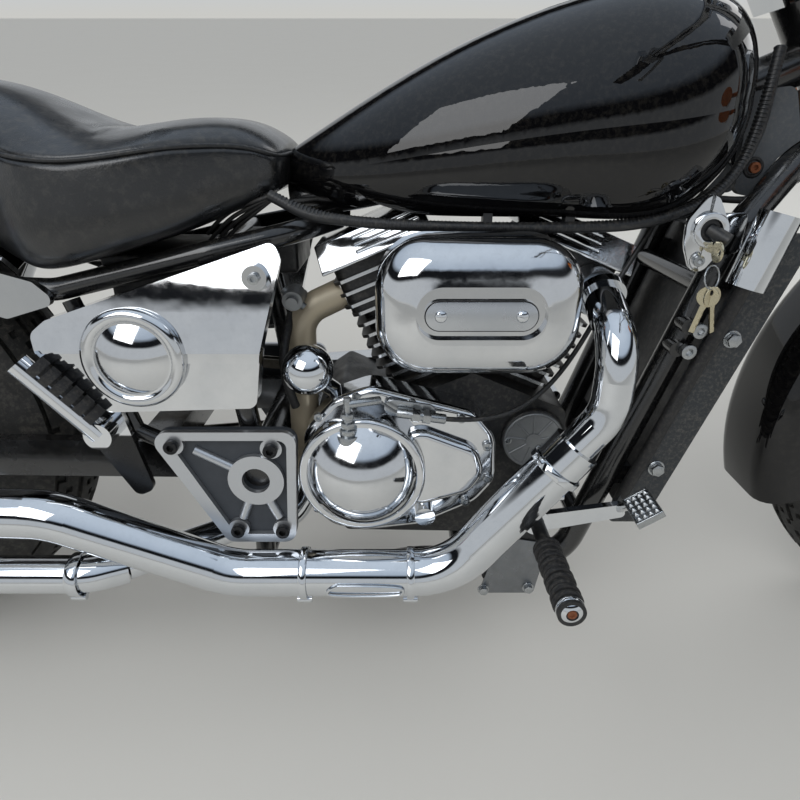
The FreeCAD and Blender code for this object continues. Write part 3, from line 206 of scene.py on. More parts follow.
def bars(rows, easing=0):
    # round bars joined, each with its start, end, radius and sides, with their edges eased
    pieces = [roundBar(*row) for row in rows]
    for piece in pieces if easing else ():
        bevelPiece(piece, easing)
    return joined(pieces)


def drum(radius, depth, sides, place=(0, 0, 0), turn=(0, 0, 0), ends="NGON"):
    bpy.ops.mesh.primitive_cylinder_add(vertices=sides, radius=mm(radius), depth=mm(depth),
                                        location=mm(*place), rotation=turn, end_fill_type=ends)
    return bpy.context.object


def block(place, size):
    bpy.ops.mesh.primitive_cube_add(size=1, location=mm(*place))
    bpy.context.object.scale = mm(*size)
    return settle(bpy.context.object)


def hoop(radius, thickness, segments, sides, place=(0, 0, 0), turn=(0, 0, 0)):
    bpy.ops.mesh.primitive_torus_add(major_radius=mm(radius), minor_radius=mm(thickness),
                                     major_segments=segments, minor_segments=sides,
                                     location=mm(*place), rotation=turn)
    return settle(bpy.context.object)


def routeCurve(name, places, order=3):
    # a smooth curve along places
    curve = bpy.data.curves.new(name, "CURVE")
    curve.dimensions = "3D"
    spline = curve.splines.new("NURBS")
    spline.points.add(len(places) - 1)
    for point, place in zip(spline.points, places):
        point.co = (*mm(*place), 1)
    spline.order_u = order
    spline.use_endpoint_u = True
    route = bpy.data.objects.new(name, curve)
    bpy.context.scene.collection.objects.link(route)
    return route


def hose(places, radius, sides=6, order=3):
    # a smooth round hose or cable as a mesh
    piece = routeCurve("hose", places, order)
    piece.data.bevel_depth = mm(radius)
    piece.data.bevel_resolution = sides
    piece.data.use_fill_caps = True
    piece.data.splines[0].resolution_u = 10
    choose(piece)
    bpy.ops.object.convert(target="MESH")
    return bpy.context.object


def spun(rows, steps, axis, centre=(0, 0, 0), angle=2 * pi):
    # one line of places, or the strip between two, turned about an axis
    bpy.ops.mesh.primitive_plane_add(size=1)
    piece = bpy.context.object
    mesh = bmesh.new()
    rows = [[mesh.verts.new(mm(*place)) for place in row] for row in rows]
    for at in range(len(rows[0]) - 1):
        if len(rows) == 1:
            mesh.edges.new(rows[0][at:at + 2])
        else:
            mesh.faces.new(rows[0][at:at + 2] + rows[1][at:at + 2][::-1])
    mesh.to_mesh(piece.data)
    mesh.free()
    openMesh(piece)
    bpy.ops.mesh.spin(steps=steps, angle=angle, center=mm(*centre), axis=axis)
    if len(rows) == 1:
        bpy.ops.mesh.select_all(action="SELECT")
        bpy.ops.mesh.remove_doubles(threshold=mm(0.1))
    closeMesh(outward=True)
    return piece


# Materials

def colour(hexValue):
    parts = [int(hexValue[at:at + 2], 16) / 255 for at in (1, 3, 5)]
    linear = [part / 12.92 if part <= 0.04045 else ((part + 0.055) / 1.055) ** 2.4
              for part in parts]
    return (*linear, 1)


def addNode(tree, kind, inputs=None, **settings):
    # each input takes another node's output or a plain value
    node = tree.nodes.new("ShaderNode" + kind)
    for key, value in settings.items():
        setattr(node, key, value)
    for key, source in (inputs or {}).items():
        if isinstance(source, bpy.types.NodeSocket):
            tree.links.new(source, node.inputs[key])
        else:
            node.inputs[key].default_value = source
    return node


def pattern(tree, size, place, kind="TexNoise", **detail):
    # a pattern with its size in millimetres; Object coordinates are metres
    return addNode(tree, kind, {"Scale": 1000 / size, "Vector": place, **detail}).outputs[0]


def ranged(tree, source, low, high, least=0.0, most=1.0):
    return addNode(tree, "MapRange", {"Value": source, "From Min": low, "From Max": high,
                                      "To Min": least, "To Max": most}).outputs["Result"]


def mixed(tree, share, first, second, kind="RGBA"):
    return addNode(tree, "Mix", {"Factor": share, "A": first, "B": second},
                   data_type=kind).outputs["Result"]


def reckoned(tree, operation, *sources):
    return addNode(tree, "Math", dict(enumerate(sources)), operation=operation).outputs[0]


# how far the drifting pattern is stretched, and settled dust, thicker where the surface faces up
driftSpan = (0.38, 0.62)
dust = {"colour": "#8A857A", "rough": 0.75, "size": 9, "facing": (-0.5, 1.0, 0.1, 1.0),
        "flecks": (0.48, 0.78)}


def addRelief(tree, place, look, strength):
    normal = tree.nodes["Principled BSDF"].inputs["Normal"]
    for size, depth, *shape in look.get("relief", ()):
        source = place
        if "brush" in shape:
            # the pattern is stretched up the part, so only its width across is fine
            source = addNode(tree, "Mapping",
                             {"Vector": place, "Scale": (1, 0.04, 0.04)}).outputs[0]
        grain = pattern(tree, size, source, "TexVoronoi" if "pebble" in shape else "TexNoise")
        bump = addNode(tree, "Bump", {"Height": grain, "Distance": mm(depth), "Strength": strength})
        if normal.links:
            tree.links.new(normal.links[0].from_socket, bump.inputs["Normal"])
        tree.links.new(bump.outputs["Normal"], normal)


def mixFinish(name, look):
    # colour and gloss drift over the surface, dust lies on top, relief is added finest last
    material = bpy.data.materials.new(name)
    material.use_nodes = True
    tree = material.node_tree
    shader = tree.nodes["Principled BSDF"]
    place = addNode(tree, "TexCoord").outputs["Object"]
    for socket, key, usual in (("Metallic", "metallic", 0), ("Specular IOR Level", "specular", 0.5),
                               ("Coat Weight", "coat", 0), ("Coat Roughness", "coatRough", 0.03)):
        shader.inputs[socket].default_value = look.get(key, usual)
    drift = pattern(tree, look["drift"], place, Detail=5, Roughness=0.6)
    gloss = ranged(tree, drift, *driftSpan, *look["rough"])
    tone = mixed(tree, drift, *(colour(value) for value in look["colours"]))
    if "dust" in look:
        normal = addNode(tree, "NewGeometry").outputs["Normal"]
        up = addNode(tree, "SeparateXYZ", {0: normal}).outputs["Z"]
        fleck = pattern(tree, look.get("dustSize", dust["size"]), place, Detail=8, Roughness=0.72)
        cover = reckoned(tree, "MULTIPLY", ranged(tree, up, *dust["facing"]),
                         ranged(tree, fleck, *dust["flecks"], 0.0, look["dust"]))
        tone = mixed(tree, cover, tone, colour(dust["colour"]))
        gloss = mixed(tree, cover, gloss, dust["rough"], "FLOAT")
    tree.links.new(tone, shader.inputs["Base Color"])
    tree.links.new(gloss, shader.inputs["Roughness"])
    addRelief(tree, place, look, 1.0)
    return material


def maskedFinish(name, look, otherLook, axis, low, high, absolute=True, centre=0):
    # two finishes on one casting, parted by a place along one of the upright machine's axes
    material = mixFinish(name, look)
    tree = material.node_tree
    inputs = tree.nodes["Principled BSDF"].inputs
    place = addNode(tree, "TexCoord").outputs["Object"]
    axis = "xyz".index(axis)
    along = addNode(tree, "VectorMath", {0: place, 1: toStand.to_3x3().col[axis]},
                    operation="DOT_PRODUCT").outputs["Value"]
    height = reckoned(tree, "ADD", along, toStand.inverted().translation[axis] - mm(centre))
    if absolute:
        height = reckoned(tree, "ABSOLUTE", height)
    mask = ranged(tree, height, mm(low), mm(high))
    for socket, kind, value in (("Base Color", "RGBA", colour(otherLook["colours"][0])),
                                ("Roughness", "FLOAT", otherLook["rough"][0])):
        kept = inputs[socket].links[0].from_socket
        tree.links.new(mixed(tree, mask, kept, value, kind), inputs[socket])
    metal = ranged(tree, mask, 0, 1, look.get("metallic", 0), otherLook.get("metallic", 0))
    tree.links.new(metal, inputs["Metallic"])
    addRelief(tree, place, otherLook, mask)
    return material


def look(first, second, rough, drift, metallic=0, **more):
    return dict(colours=(first, second), rough=rough, drift=drift, metallic=metallic, **more)


# relief is given as the size and depth of each pattern in millimetres
looks = {
    # nickel and chrome plate on steel: a mirror, a little blue, with wiping marks
    "chromedSteel": look("#E2E4E6", "#CDD1D6", (0.03, 0.09), 55, 1, relief=[(70, 0.25)], dust=0.10),
    # chrome plate on polished castings, where the mirror ripples softly
    "chromedCasting": look("#E4E5E6", "#C9CCD0", (0.04, 0.11), 40, 1, relief=[(38, 0.30)],
                           dust=0.14),
    # moulded black ABS under splashed road dust
    "dustyPlastic": look("#1C2024", "#2A2F34", (0.34, 0.56), 30, relief=[(1.6, 0.05)], dust=0.8,
                         dustSize=4),
    # aluminium sheet brushed one way: fine upright scratches stretch its highlights
    "brushedAluminium": look("#C9CCD0", "#B4B8BD", (0.22, 0.32), 40, 1,
                             relief=[(0.8, 0.03, "brush")], dust=0.08),
    # cast end of a chromed cover, left with the sand's grain under its plate
    "grainedChrome": look("#D5D7DA", "#BFC2C6", (0.16, 0.26), 30, 1, relief=[(2.4, 0.5)],
                          dust=0.15),
    # black lacquer under clear coat: near-perfect reflections in deep black
    "blackLacquer": look("#060607", "#0B0B0D", (0.10, 0.16), 90, specular=0.0, coat=1.0,
                         coatRough=0.02, dust=0.10, dustSize=6),
    # baked enamel on tube: glossy black, thinly dusted
    "blackEnamel": look("#0B0B0C", "#131416", (0.16, 0.30), 45, coat=0.7, coatRough=0.10,
                        relief=[(14, 0.05)], dust=0.16, dustSize=5),
    # black powder coat on sand-cast aluminium: satin with a fine cast grain
    "blackCasting": look("#101113", "#1A1B1E", (0.34, 0.50), 30, relief=[(2.2, 0.12)], dust=0.5,
                         dustSize=6),
    # bare cast aluminium with a grey bloom
    "greyCasting": look("#8B8E90", "#74777A", (0.38, 0.52), 20, 0.75, relief=[(1.8, 0.10)],
                        dust=0.35),
    # satin anodised aluminium
    "satinAluminium": look("#C3C6CA", "#B2B6BB", (0.30, 0.40), 35, 0.9, relief=[(0.9, 0.02)],
                           dust=0.15),
    # crackled dark paint in the sunk fields of a cover
    "darkField": look("#3A3F45", "#30343A", (0.5, 0.6), 12),
    # zinc plate of fasteners and small fittings
    "brightZinc": look("#B9BCBE", "#9C9FA1", (0.18, 0.36), 7, 1, dust=0.35, dustSize=3),
    # black oxide screws
    "blackOxide": look("#24262A", "#17181B", (0.28, 0.42), 8, 0.6, dust=0.3, dustSize=3),
    # rust in screw sockets
    "rustedSteel": look("#8C5230", "#5D3420", (0.7, 0.9), 2.5, 0.1, relief=[(1.2, 0.25)]),
    # vulcanised rubber of tyres
    "tyreRubber": look("#1A1A1A", "#242423", (0.62, 0.82), 22, relief=[(2.0, 0.08)], dust=0.5,
                       dustSize=8),
    # moulded soft rubber of pegs, grips and hoses
    "blackRubber": look("#141415", "#1E1E20", (0.5, 0.68), 14, relief=[(1.4, 0.05)], dust=0.35,
                        dustSize=4),
    # extruded black vinyl: smoother, with a faint gloss
    "blackVinyl": look("#17181A", "#222427", (0.34, 0.46), 18, dust=0.35, dustSize=5),
    # moulded ABS that has greyed in the sun
    "greyedPlastic": look("#4B5056", "#3D4247", (0.5, 0.62), 26, relief=[(1.1, 0.04)], dust=0.45,
                          dustSize=4),
    # moulded ABS kept black
    "blackPlastic": look("#121315", "#1B1D20", (0.36, 0.5), 25, relief=[(1.2, 0.03)], dust=0.35),
    # rolled steel with a dull plate
    "plainSteel": look("#8E9194", "#74777B", (0.26, 0.42), 16, 1, relief=[(5, 0.05)], dust=0.4),
    # ground brake-disc steel
    "groundSteel": look("#A8AAAC", "#96989A", (0.24, 0.34), 9, 1),
    # oiled chain steel
    "chainSteel": look("#6F6A60", "#4C4842", (0.32, 0.5), 6, 0.9, dust=0.4, dustSize=4),
    # nickel silver of a cut key
    "nickelSilver": look("#D6CDB4", "#BDB393", (0.18, 0.3), 5, 1),
    # dyed acrylic lenses
    "redAcrylic": look("#A31217", "#8C0F14", (0.08, 0.14), 30, coat=0.8,
                       relief=[(7, 0.5, "pebble")]),
    "amberAcrylic": look("#D9761A", "#C26412", (0.08, 0.14), 30, coat=0.8,
                         relief=[(6, 0.5, "pebble")]),
    # pressed glass of a lamp
    "pressedGlass": look("#E3E9EC", "#D3DBDF", (0.04, 0.08), 30, coat=1.0,
                         relief=[(9, 0.9, "pebble")]),
    # white enamel of a blank number board
    "whiteEnamel": look("#D8D8D3", "#CDCDC8", (0.28, 0.4), 40, dust=0.3),
    # leathercloth: black vinyl skin with a pebbled grain of about two millimetres
    "blackLeathercloth": look("#0C0D0F", "#141619", (0.26, 0.38), 60, coat=0.5, coatRough=0.16,
                              relief=[(26, 0.5), (2.4, 0.14, "pebble")], dust=0.22, dustSize=12),
}
# looks that only lie beside another on one casting
partLooks = {
    # enamelled lower half of the passenger's pegs
    "pegEnamel": look("#0B0B0C", "#131416", (0.2, 0.3), 45),
    # turned fin edges, straw-grey heated pipe and polished steel, each over another finish
    "finEdge": look("#C9CCCF", "#C9CCCF", (0.24, 0.24), 30, 1),
    "heatedBeige": look("#B9AE98", "#B9AE98", (0.42, 0.42), 30, 0.35),
    "polished": look("#DDDFE2", "#DDDFE2", (0.08, 0.08), 30, 1),
}
# over which look another one starts: its axis, the band that parts them in millimetres
maskedLooks = {
    "finnedBlack": ("blackCasting", "finEdge", "y", 73.2, 73.6),
    "plateAndField": ("darkField", "satinAluminium", "y", 158.6, 159.2),
    "headerBeige": ("chromedSteel", "heatedBeige", "z", 268, 292, False),
    "coverChrome": ("chromedCasting", "grainedChrome", "x", 128, 132, False, 865),
    "pegChrome": ("pegEnamel", "polished", "z", 374, 376, False),
}
finishes = {name: mixFinish(name, settings) for name, settings in looks.items()}
for name, (under, over, *parting) in maskedLooks.items():
    pair = [{**looks, **partLooks}[key] for key in (under, over)]
    finishes[name] = maskedFinish(name, *pair, *parting)
print("materials mixed:", len(finishes))

# Which finish each carried-over node takes
sprayList = {
    "blackEnamel": "frame_backbone frame_downtubes frame_lower_rails frame_uprights "
                   "frame_seat_rails swingarm side_stand",
    "blackLacquer": "fuel_tank rear_fender front_fender",
    "blackCasting": "crankcase radiator caliper",
    "chromedSteel": "exhaust_front fender_struts shocks handlebar filler_cap headlamp speedometer "
                    "mirrors horn breather foot_levers fork",
    "pegChrome": "passenger_pegs",
    "chromedCasting": "head_covers clutch_case clutch_cover generator_cover sprocket_cover "
                      "air_cleaner side_covers ignition_switch",
    "dustyPlastic": "radiator_cheeks",
    "headerBeige": "exhaust_rear",
    "finnedBlack": "cylinder_rear cylinder_front",
    "plateAndField": "pivot_covers",
    "blackPlastic": "air_box intake_cover plate_holder foot_rests",
    "greyedPlastic": "neck_covers",
    "blackVinyl": "conduit",
    "blackRubber": "grips",
    "tyreRubber": "front_tyre rear_tyre",
    "satinAluminium": "front_wheel rear_wheel levers",
    "groundSteel": "front_disc",
    "chainSteel": "chain",
    "brightZinc": "rear_axle",
    "redAcrylic": "rear_lamps",
    "amberAcrylic": "front_indicators",
    "blackLeathercloth": "seat_rider seat_pillion",
}
for name, nodes in sprayList.items():
    for node in nodes.split():
        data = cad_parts[node].data
        data.materials.clear()
        data.materials.append(finishes[name])
        for face in data.polygons:
            face.material_index = 0
print("nodes finished:", sum(len(nodes.split()) for nodes in sprayList.values()))


# Saddle: one foam seat from the nose over the pillion step, skinned in leathercloth

saddle = {
    # x, half width, bottom, seam, top; the seam runs along the widest line
    "sections": [
        (640, 90, 644, 680, 697), (618, 106, 634, 690, 711), (590, 122, 622, 693, 721),
        (540, 146, 602, 692, 720), (490, 160, 588, 684, 711), (440, 166, 574, 678, 707),
        (385, 158, 560, 682, 730), (355, 138, 568, 690, 746), (326, 118, 578, 702, 757),
        (290, 106, 602, 724, 765), (220, 102, 658, 744, 771), (130, 100, 698, 752, 772),
        (50, 96, 712, 748, 766), (0, 84, 716, 738, 752), (-16, 64, 716, 728, 737)],
    "endDepth": 5, "endRings": ((0.78, 0.7), (0.4, 1.0)),
    "nose": [(644, -46, 682), (647, 0, 683), (644, 46, 682)],
    "weltRadius": 2.4, "weltInset": 0.965, "seamReach": 6, "valley": 0.02,
    "foamSwell": 2.2, "pressure": 3.0, "frames": 14,
}


def saddleRing(x, half, low, seam, top):
    # the right half of one cross-section, from under the seat up to its crown
    rise = top - seam
    return [(0, low + 4), (0.60 * half, low + 2), (0.88 * half, low),
            (0.985 * half, low + 0.22 * (seam - low)), (1.0 * half, (low + seam) / 2),
            (0.99 * half, seam - 7), (0.97 * half, seam), (0.945 * half, seam + 5),
            (0.80 * half, seam + 0.66 * rise), (0.46 * half, top - 0.05 * rise), (0, top)]


def buildSaddle():
    mesh = bmesh.new()
    rings = []
    for x, *sizes in saddle["sections"]:
        right = saddleRing(x, *sizes)
        left = [(-y, z) for y, z in right[-2:0:-1]]
        rings.append([mesh.verts.new(mm(x, -y, z)) for y, z in right + left])
    # both ends close in two smaller rings that bulge outward
    for end, outward in ((0, 1), (-1, -1)):
        rim = [vertex.co.copy() for vertex in rings[end]]
        middle = sum(rim, Vector()) / len(rim)
        for share, push in saddle["endRings"]:
            shift = Vector((outward * push * mm(saddle["endDepth"]), 0, 0))
            ring = [mesh.verts.new(middle + (spot - middle) * share + shift) for spot in rim]
            rings.insert(0 if end == 0 else len(rings), ring)
    for ring, following in zip(rings, rings[1:]):
        for at in range(len(ring)):
            after = (at + 1) % len(ring)
            mesh.faces.new((ring[at], ring[after], following[after], following[at]))
    for ring in (rings[0], rings[-1]):
        mesh.faces.new(ring)
    bmesh.ops.recalc_face_normals(mesh, faces=mesh.faces)
    data = bpy.data.meshes.new("saddle")
    mesh.to_mesh(data)
    mesh.free()
    piece = bpy.data.objects.new("saddle", data)
    bpy.context.scene.collection.objects.link(piece)
    applyModifier(piece, "SUBSURF", levels=3, render_levels=3)
    return piece


def seamHeight(x):
    # the seam's height and the bottom's at a place along the saddle
    rows = saddle["sections"]
    for front, rear in zip(rows, rows[1:]):
        if rear[0] <= x <= front[0]:
            share = (x - rear[0]) / (front[0] - rear[0])
            return rear[3] + share * (front[3] - rear[3]), rear[2] + share * (front[2] - rear[2])
    nearest = rows[0] if x > rows[0][0] else rows[-1]
    return nearest[3], nearest[2]


saddlePiece = buildSaddle()
rightSeam, leftSeam = [[(x, hand * saddle["weltInset"] * half, seam)
                        for x, half, low, seam, top in saddle["sections"]] for hand in (-1, 1)]
weltLine = rightSeam[::-1] + saddle["nose"] + leftSeam

# the skin swells a little between its sewn lines, which are held
held = saddlePiece.vertex_groups.new(name="held")
for vertex in saddlePiece.data.vertices:
    seam, low = seamHeight(vertex.co.x * 1000)
    z = vertex.co.z * 1000
    if abs(z - seam) < saddle["seamReach"] and abs(vertex.co.y) > 0.05 or z < low + 10:
        held.add([vertex.index], 1.0, "REPLACE")
choose(saddlePiece)
before = [vertex.co.copy() for vertex in saddlePiece.data.vertices]
cloth = saddlePiece.modifiers.new("Cloth", "CLOTH")
cloth.settings.use_pressure = True
cloth.settings.uniform_pressure_force = saddle["pressure"]
cloth.settings.effector_weights.gravity = 0
cloth.settings.vertex_group_mass = "held"
cloth.settings.quality = 5
for number in range(1, saddle["frames"] + 1):
    bpy.context.scene.frame_set(number)
bpy.ops.object.modifier_apply(modifier="Cloth")
bpy.context.scene.frame_set(1)
cap = mm(saddle["foamSwell"])
for vertex, rest in zip(saddlePiece.data.vertices, before):
    move = vertex.co - rest
    if move.length > cap:
        vertex.co = rest + move.normalized() * cap
# a stitched valley beside the welt
for vertex in saddlePiece.data.vertices:
    away = abs(vertex.co.z * 1000 - seamHeight(vertex.co.x * 1000)[0]) / saddle["seamReach"]
    if away < 1 and abs(vertex.co.y) > 0.03:
        vertex.co.y *= 1 - saddle["valley"] * (1 - away)
finishPiece(saddlePiece, "saddle", "blackLeathercloth", smooth=180)
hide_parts("seat_rider", "seat_pillion")
finishPiece(hose(weltLine, saddle["weltRadius"], 4, 4), "saddleWelt", "blackVinyl", smooth=60)
print("saddle sewn")


# Fasteners: each kind is modelled once, a metre across its head, and copied

def capScrew():
    # round head with a six-sided socket
    head = drum(500, 500, 32, (0, 0, 250))
    bevelPiece(head, 60, 2, 60)
    cutWith(head, drum(270, 500, 6, (0, 0, 470)))
    return settle(head)


def hexBolt():
    # six-sided head with a turned top, on its washer
    head = drum(500, 420, 6, (0, 0, 300))
    bevelPiece(head, 50, 2, 40)
    washer = drum(620, 100, 32, (0, 0, 50))
    bevelPiece(washer, 20, 1, 60)
    return settle(joined([head, washer]))


def slottedScrew():
    # low domed head with a straight slot
    bpy.ops.mesh.primitive_uv_sphere_add(segments=32, ring_count=16, radius=0.5)
    head = bpy.context.object
    head.scale.z = 0.55
    openMesh(settle(head))
    bpy.ops.mesh.bisect(plane_co=(0, 0, 0), plane_no=(0, 0, 1), clear_inner=True,
                        use_fill=True)
    closeMesh()
    cutWith(head, block((0, 0, 300), (140, 1400, 240)))
    return settle(head)


fastenerKinds = {"cap": capScrew(), "hex": hexBolt(), "slot": slottedScrew()}


def fasteners(name, kind, size, places, finish="brightZinc", direction=(0, -1, 0),
              body="chassis"):
    # size is the head's width; each head is turned a little further than the last
    heads = [copied(fastenerKinds[kind],
                    facing(mm(*place), direction, mm(size), 25 + 47 * number))
             for number, place in enumerate(places)]
    finishPiece(joined(heads), name, finish, body)


for side, label in bothSides:
    out = (0, side, 0)
    fasteners("pivotPlateScrews" + label, "cap", 17,
              [(505, side * 166, 367), (621, side * 166, 362), (571, side * 166, 248),
               (627, side * 166, 247)], "blackOxide", out)
    fasteners("radiatorBolts" + label, "hex", 17,
              [(1158, side * 128, 486), (1100, side * 128, 314)], direction=out)
    fasteners("neckScrews" + label.replace("Right", ""), "cap", 12, [(1178, side * 56, 668)],
              "rustedSteel", out)
    fasteners("axleNut" + label, "hex", 30, [(1645, side * 128, 320)], "chromedSteel", out,
              "steering_set")
fasteners("clutchCaseScrews", "cap", 11,
          [(676, -138, 392), (722, -138, 418), (788, -138, 410), (848, -138, 390),
           (881, -138, 352), (884, -138, 306), (858, -138, 272), (806, -138, 243),
           (668, -138, 262), (662, -138, 330)])
fasteners("airPlateScrews", "slot", 13, [(815, -209, 536), (897, -209, 536)], "chromedSteel")
fasteners("gussetScrews", "cap", 18, [(1117, -126, 497), (1109, -126, 472)])
fasteners("lockPlateScrew", "cap", 12, [(1091, -146, 580)])
fasteners("pegPlateBolts", "hex", 13, [(890, -134, 123), (952, -134, 126)])
fasteners("sideCoverScrew", "cap", 12, [(622, -170, 566)])
fasteners("discScrew", "cap", 9, [(913, -104, 342)])
fasteners("caliperBolts", "hex", 15, [(1532, -90, 384), (1574, -90, 412)], body="steering_set")
fasteners("generatorScrews", "cap", 11,
          [around((865, 290), 81, radians(turn), 104) for turn in range(15, 375, 45)],
          direction=(0, 1, 0))
for kind in fastenerKinds.values():
    bpy.data.objects.remove(kind)
print("fasteners set")


# Tyres: the carcass is spun, then stepped grooves part its tread into blocks

tread = {"crown": 75, "depth": 5.0, "cells": 16, "half": 0.74, "steps": 192, "pattern": 8,
         # cells of the two grooves that run round the tyre, with the steps that bridge them
         "bridges": {3: (0, 1), 7: (4, 5)}}


def treadTyre(name, node, axleX, radius, halfWidth, rimRadius, body):
    middle = (radius + rimRadius) / 2
    treadHalf, cells = tread["half"] * halfWidth, tread["cells"]
    axle = mm(axleX, 0, radius)

    def fall(y):
        # how far the rounded tread lies below its middle
        return tread["crown"] - sqrt(tread["crown"] ** 2 - min(abs(y), tread["crown"] - 1) ** 2)

    wall = [(rimRadius - 2, 0.55), (rimRadius + 6, 0.74), (rimRadius + 22, 0.90),
            (middle, 0.985), (middle + 0.35 * (radius - middle), 0.95),
            (radius - fall(0.62 * halfWidth) - 13, 0.86)]
    across = [-treadHalf + 2 * treadHalf * cell / cells for cell in range(cells + 1)]
    outline = ([(r, -share * halfWidth) for r, share in wall]
               + [(radius - tread["depth"] - fall(y), y) for y in across]
               + [(r, share * halfWidth) for r, share in wall[::-1]])
    tyre = spun([[(axleX + r, y, radius) for r, y in outline]], tread["steps"], (0, 1, 0),
                (axleX, 0, radius))

    def isBlock(centre, normal):
        y = centre.y * 1000
        if abs(y) > treadHalf:
            return False
        turn = atan2(centre.z - axle.z, centre.x - axle.x) % (2 * pi)
        step = int(turn / (2 * pi) * tread["steps"])
        cell = int((y + treadHalf) / (2 * treadHalf) * cells)
        mirroredCell = min(cell, cells - 1 - cell)
        if mirroredCell in tread["bridges"]:
            return step % tread["pattern"] in tread["bridges"][mirroredCell]
        shift = tread["pattern"] // 2 if cell >= cells / 2 else 0
        return (step + 2 * mirroredCell + shift) % tread["pattern"] != 0

    pickFaces(tyre, isBlock)
    bpy.ops.mesh.extrude_region_shrink_fatten(
        TRANSFORM_OT_shrink_fatten={"value": mm(tread["depth"])})
    closeMesh()
    finishPiece(tyre, name, "tyreRubber", body, smooth=28)
    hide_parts(node)


treadTyre("frontTreadTyre", "front_tyre", 1645, 320, 64.5, 203, "front_wheel_set")
treadTyre("rearTreadTyre", "rear_tyre", 0, 325, 75, 190, "rear_wheel_set")
print("tyres moulded")


# Convoluted sleeve over the wires along the tank's edge: one ring, run along the route

sleeve = {"route": [(630, -96, 642), (672, -104, 620), (760, -106, 611), (900, -112, 608),
                    (1040, -112, 611), (1120, -98, 636), (1164, -78, 694), (1172, -68, 786)],
          # along and radius of one ring
          "wave": [(0, 5.1), (0.9, 5.2), (1.5, 6.4), (2.9, 6.4), (3.5, 5.2), (4.2, 5.1)],
          "pitch": 4.2, "sides": 16}
sleevePiece = spun([[(x, 0, radius) for x, radius in sleeve["wave"]]], sleeve["sides"], (1, 0, 0))
sleevePath = routeCurve("sleeveRoute", sleeve["route"])
applyModifier(sleevePiece, "ARRAY", fit_type="FIT_CURVE", curve=sleevePath,
              use_relative_offset=False, use_constant_offset=True,
              constant_offset_displace=mm(sleeve["pitch"], 0, 0), use_merge_vertices=True,
              merge_threshold=mm(0.2))
applyModifier(sleevePiece, "CURVE", object=sleevePath, deform_axis="POS_X")
bpy.data.objects.remove(sleevePath)
finishPiece(sleevePiece, "ribbedSleeve", "blackVinyl", smooth=40)


# Rider's pegs: ribbed rubber on a steel core, with a polished cap and its screw

peg = {"root": (947, 214, 256), "tip": (947, 317, 261.4), "radius": 16.5, "ribs": 11,
       "rib": (0.12, 0.76), "waist": 1.5, "cap": (15.5, 15.5, 10)}
for side, label in bothSides:
    root, tip = (Vector((x, side * y, z)) for x, y, z in (peg["root"], peg["tip"]))
    along, out = tip - root, (tip - root).normalized()
    ribs = []
    for number in range(peg["ribs"]):
        start, end = (root + along * ((number + share) / peg["ribs"]) for share in peg["rib"])
        waist = peg["waist"] if number % 3 == 2 else 0
        ribs.append((start, end, peg["radius"] - waist, 28))
    core = roundBar(root, tip, peg["radius"] - 2 * peg["waist"], 28)
    finishPiece(joined([bars(ribs, 1.4), core]), "pegRubber" + label, "blackRubber")
    bpy.ops.mesh.primitive_uv_sphere_add(segments=40, ring_count=20, radius=1)
    cap = bpy.context.object
    cap.data.transform(facing(mm(*(tip + out * 4)), out)
                       @ Matrix.Diagonal((*mm(*peg["cap"]), 1)))
    cutWith(cap, roundBar(tip + out * 9, tip + out * 30, 6.5, 28))
    finishPiece(cap, "pegCap" + label, "chromedSteel", smooth=50)
    screw = drum(5, 4, 24)
    screw.data.transform(facing(mm(*(tip + out * 11)), out))
    bevelPiece(screw, 0.8)
    cutWith(screw, roundBar(tip + out * 12, tip + out * 16, 2.6, 6))
    finishPiece(screw, "pegScrew" + label, "rustedSteel")
print("pegs fitted")


# Brake pedal's pad: a steel tray with rows of pointed studs

pad = {"centre": (1058, -202, 304), "size": (33, 51, 9), "tilt": 34, "rim": 3, "sunk": 2,
       "columns": 4, "rows": 5, "firstStud": (-10.8, -18.4, 4.2), "step": (7.2, 9.2),
       "stud": (4.6, 1.2, 4.6)}
tray = block((0, 0, 0), pad["size"])
pickFaces(tray, lambda centre, normal: normal.z > 0.9)
bpy.ops.mesh.inset(thickness=mm(pad["rim"]))
extrude(0, 0, -pad["sunk"])
closeMesh()
bevelPiece(tray, 1.6, 3)
studs = [tray]
foot, point, tall = pad["stud"]
x, y, z = pad["firstStud"]
for row in range(pad["rows"]):
    for column in range(pad["columns"]):
        bpy.ops.mesh.primitive_cone_add(
            vertices=4, radius1=mm(foot), radius2=mm(point), depth=mm(tall),
            rotation=(0, 0, pi / 4),
            location=mm(x + pad["step"][0] * column, y + pad["step"][1] * row, z))
        studs.append(settle(bpy.context.object))
        bevelPiece(studs[-1], 0.5, 1)
tray = joined(studs)
tray.data.transform(placed(pad["centre"], -pad["tilt"], "Y"))
finishPiece(tray, "brakePad", "brightZinc")


# Clutch's release shaft on the cover's rim, and the bracket that holds its cable's end

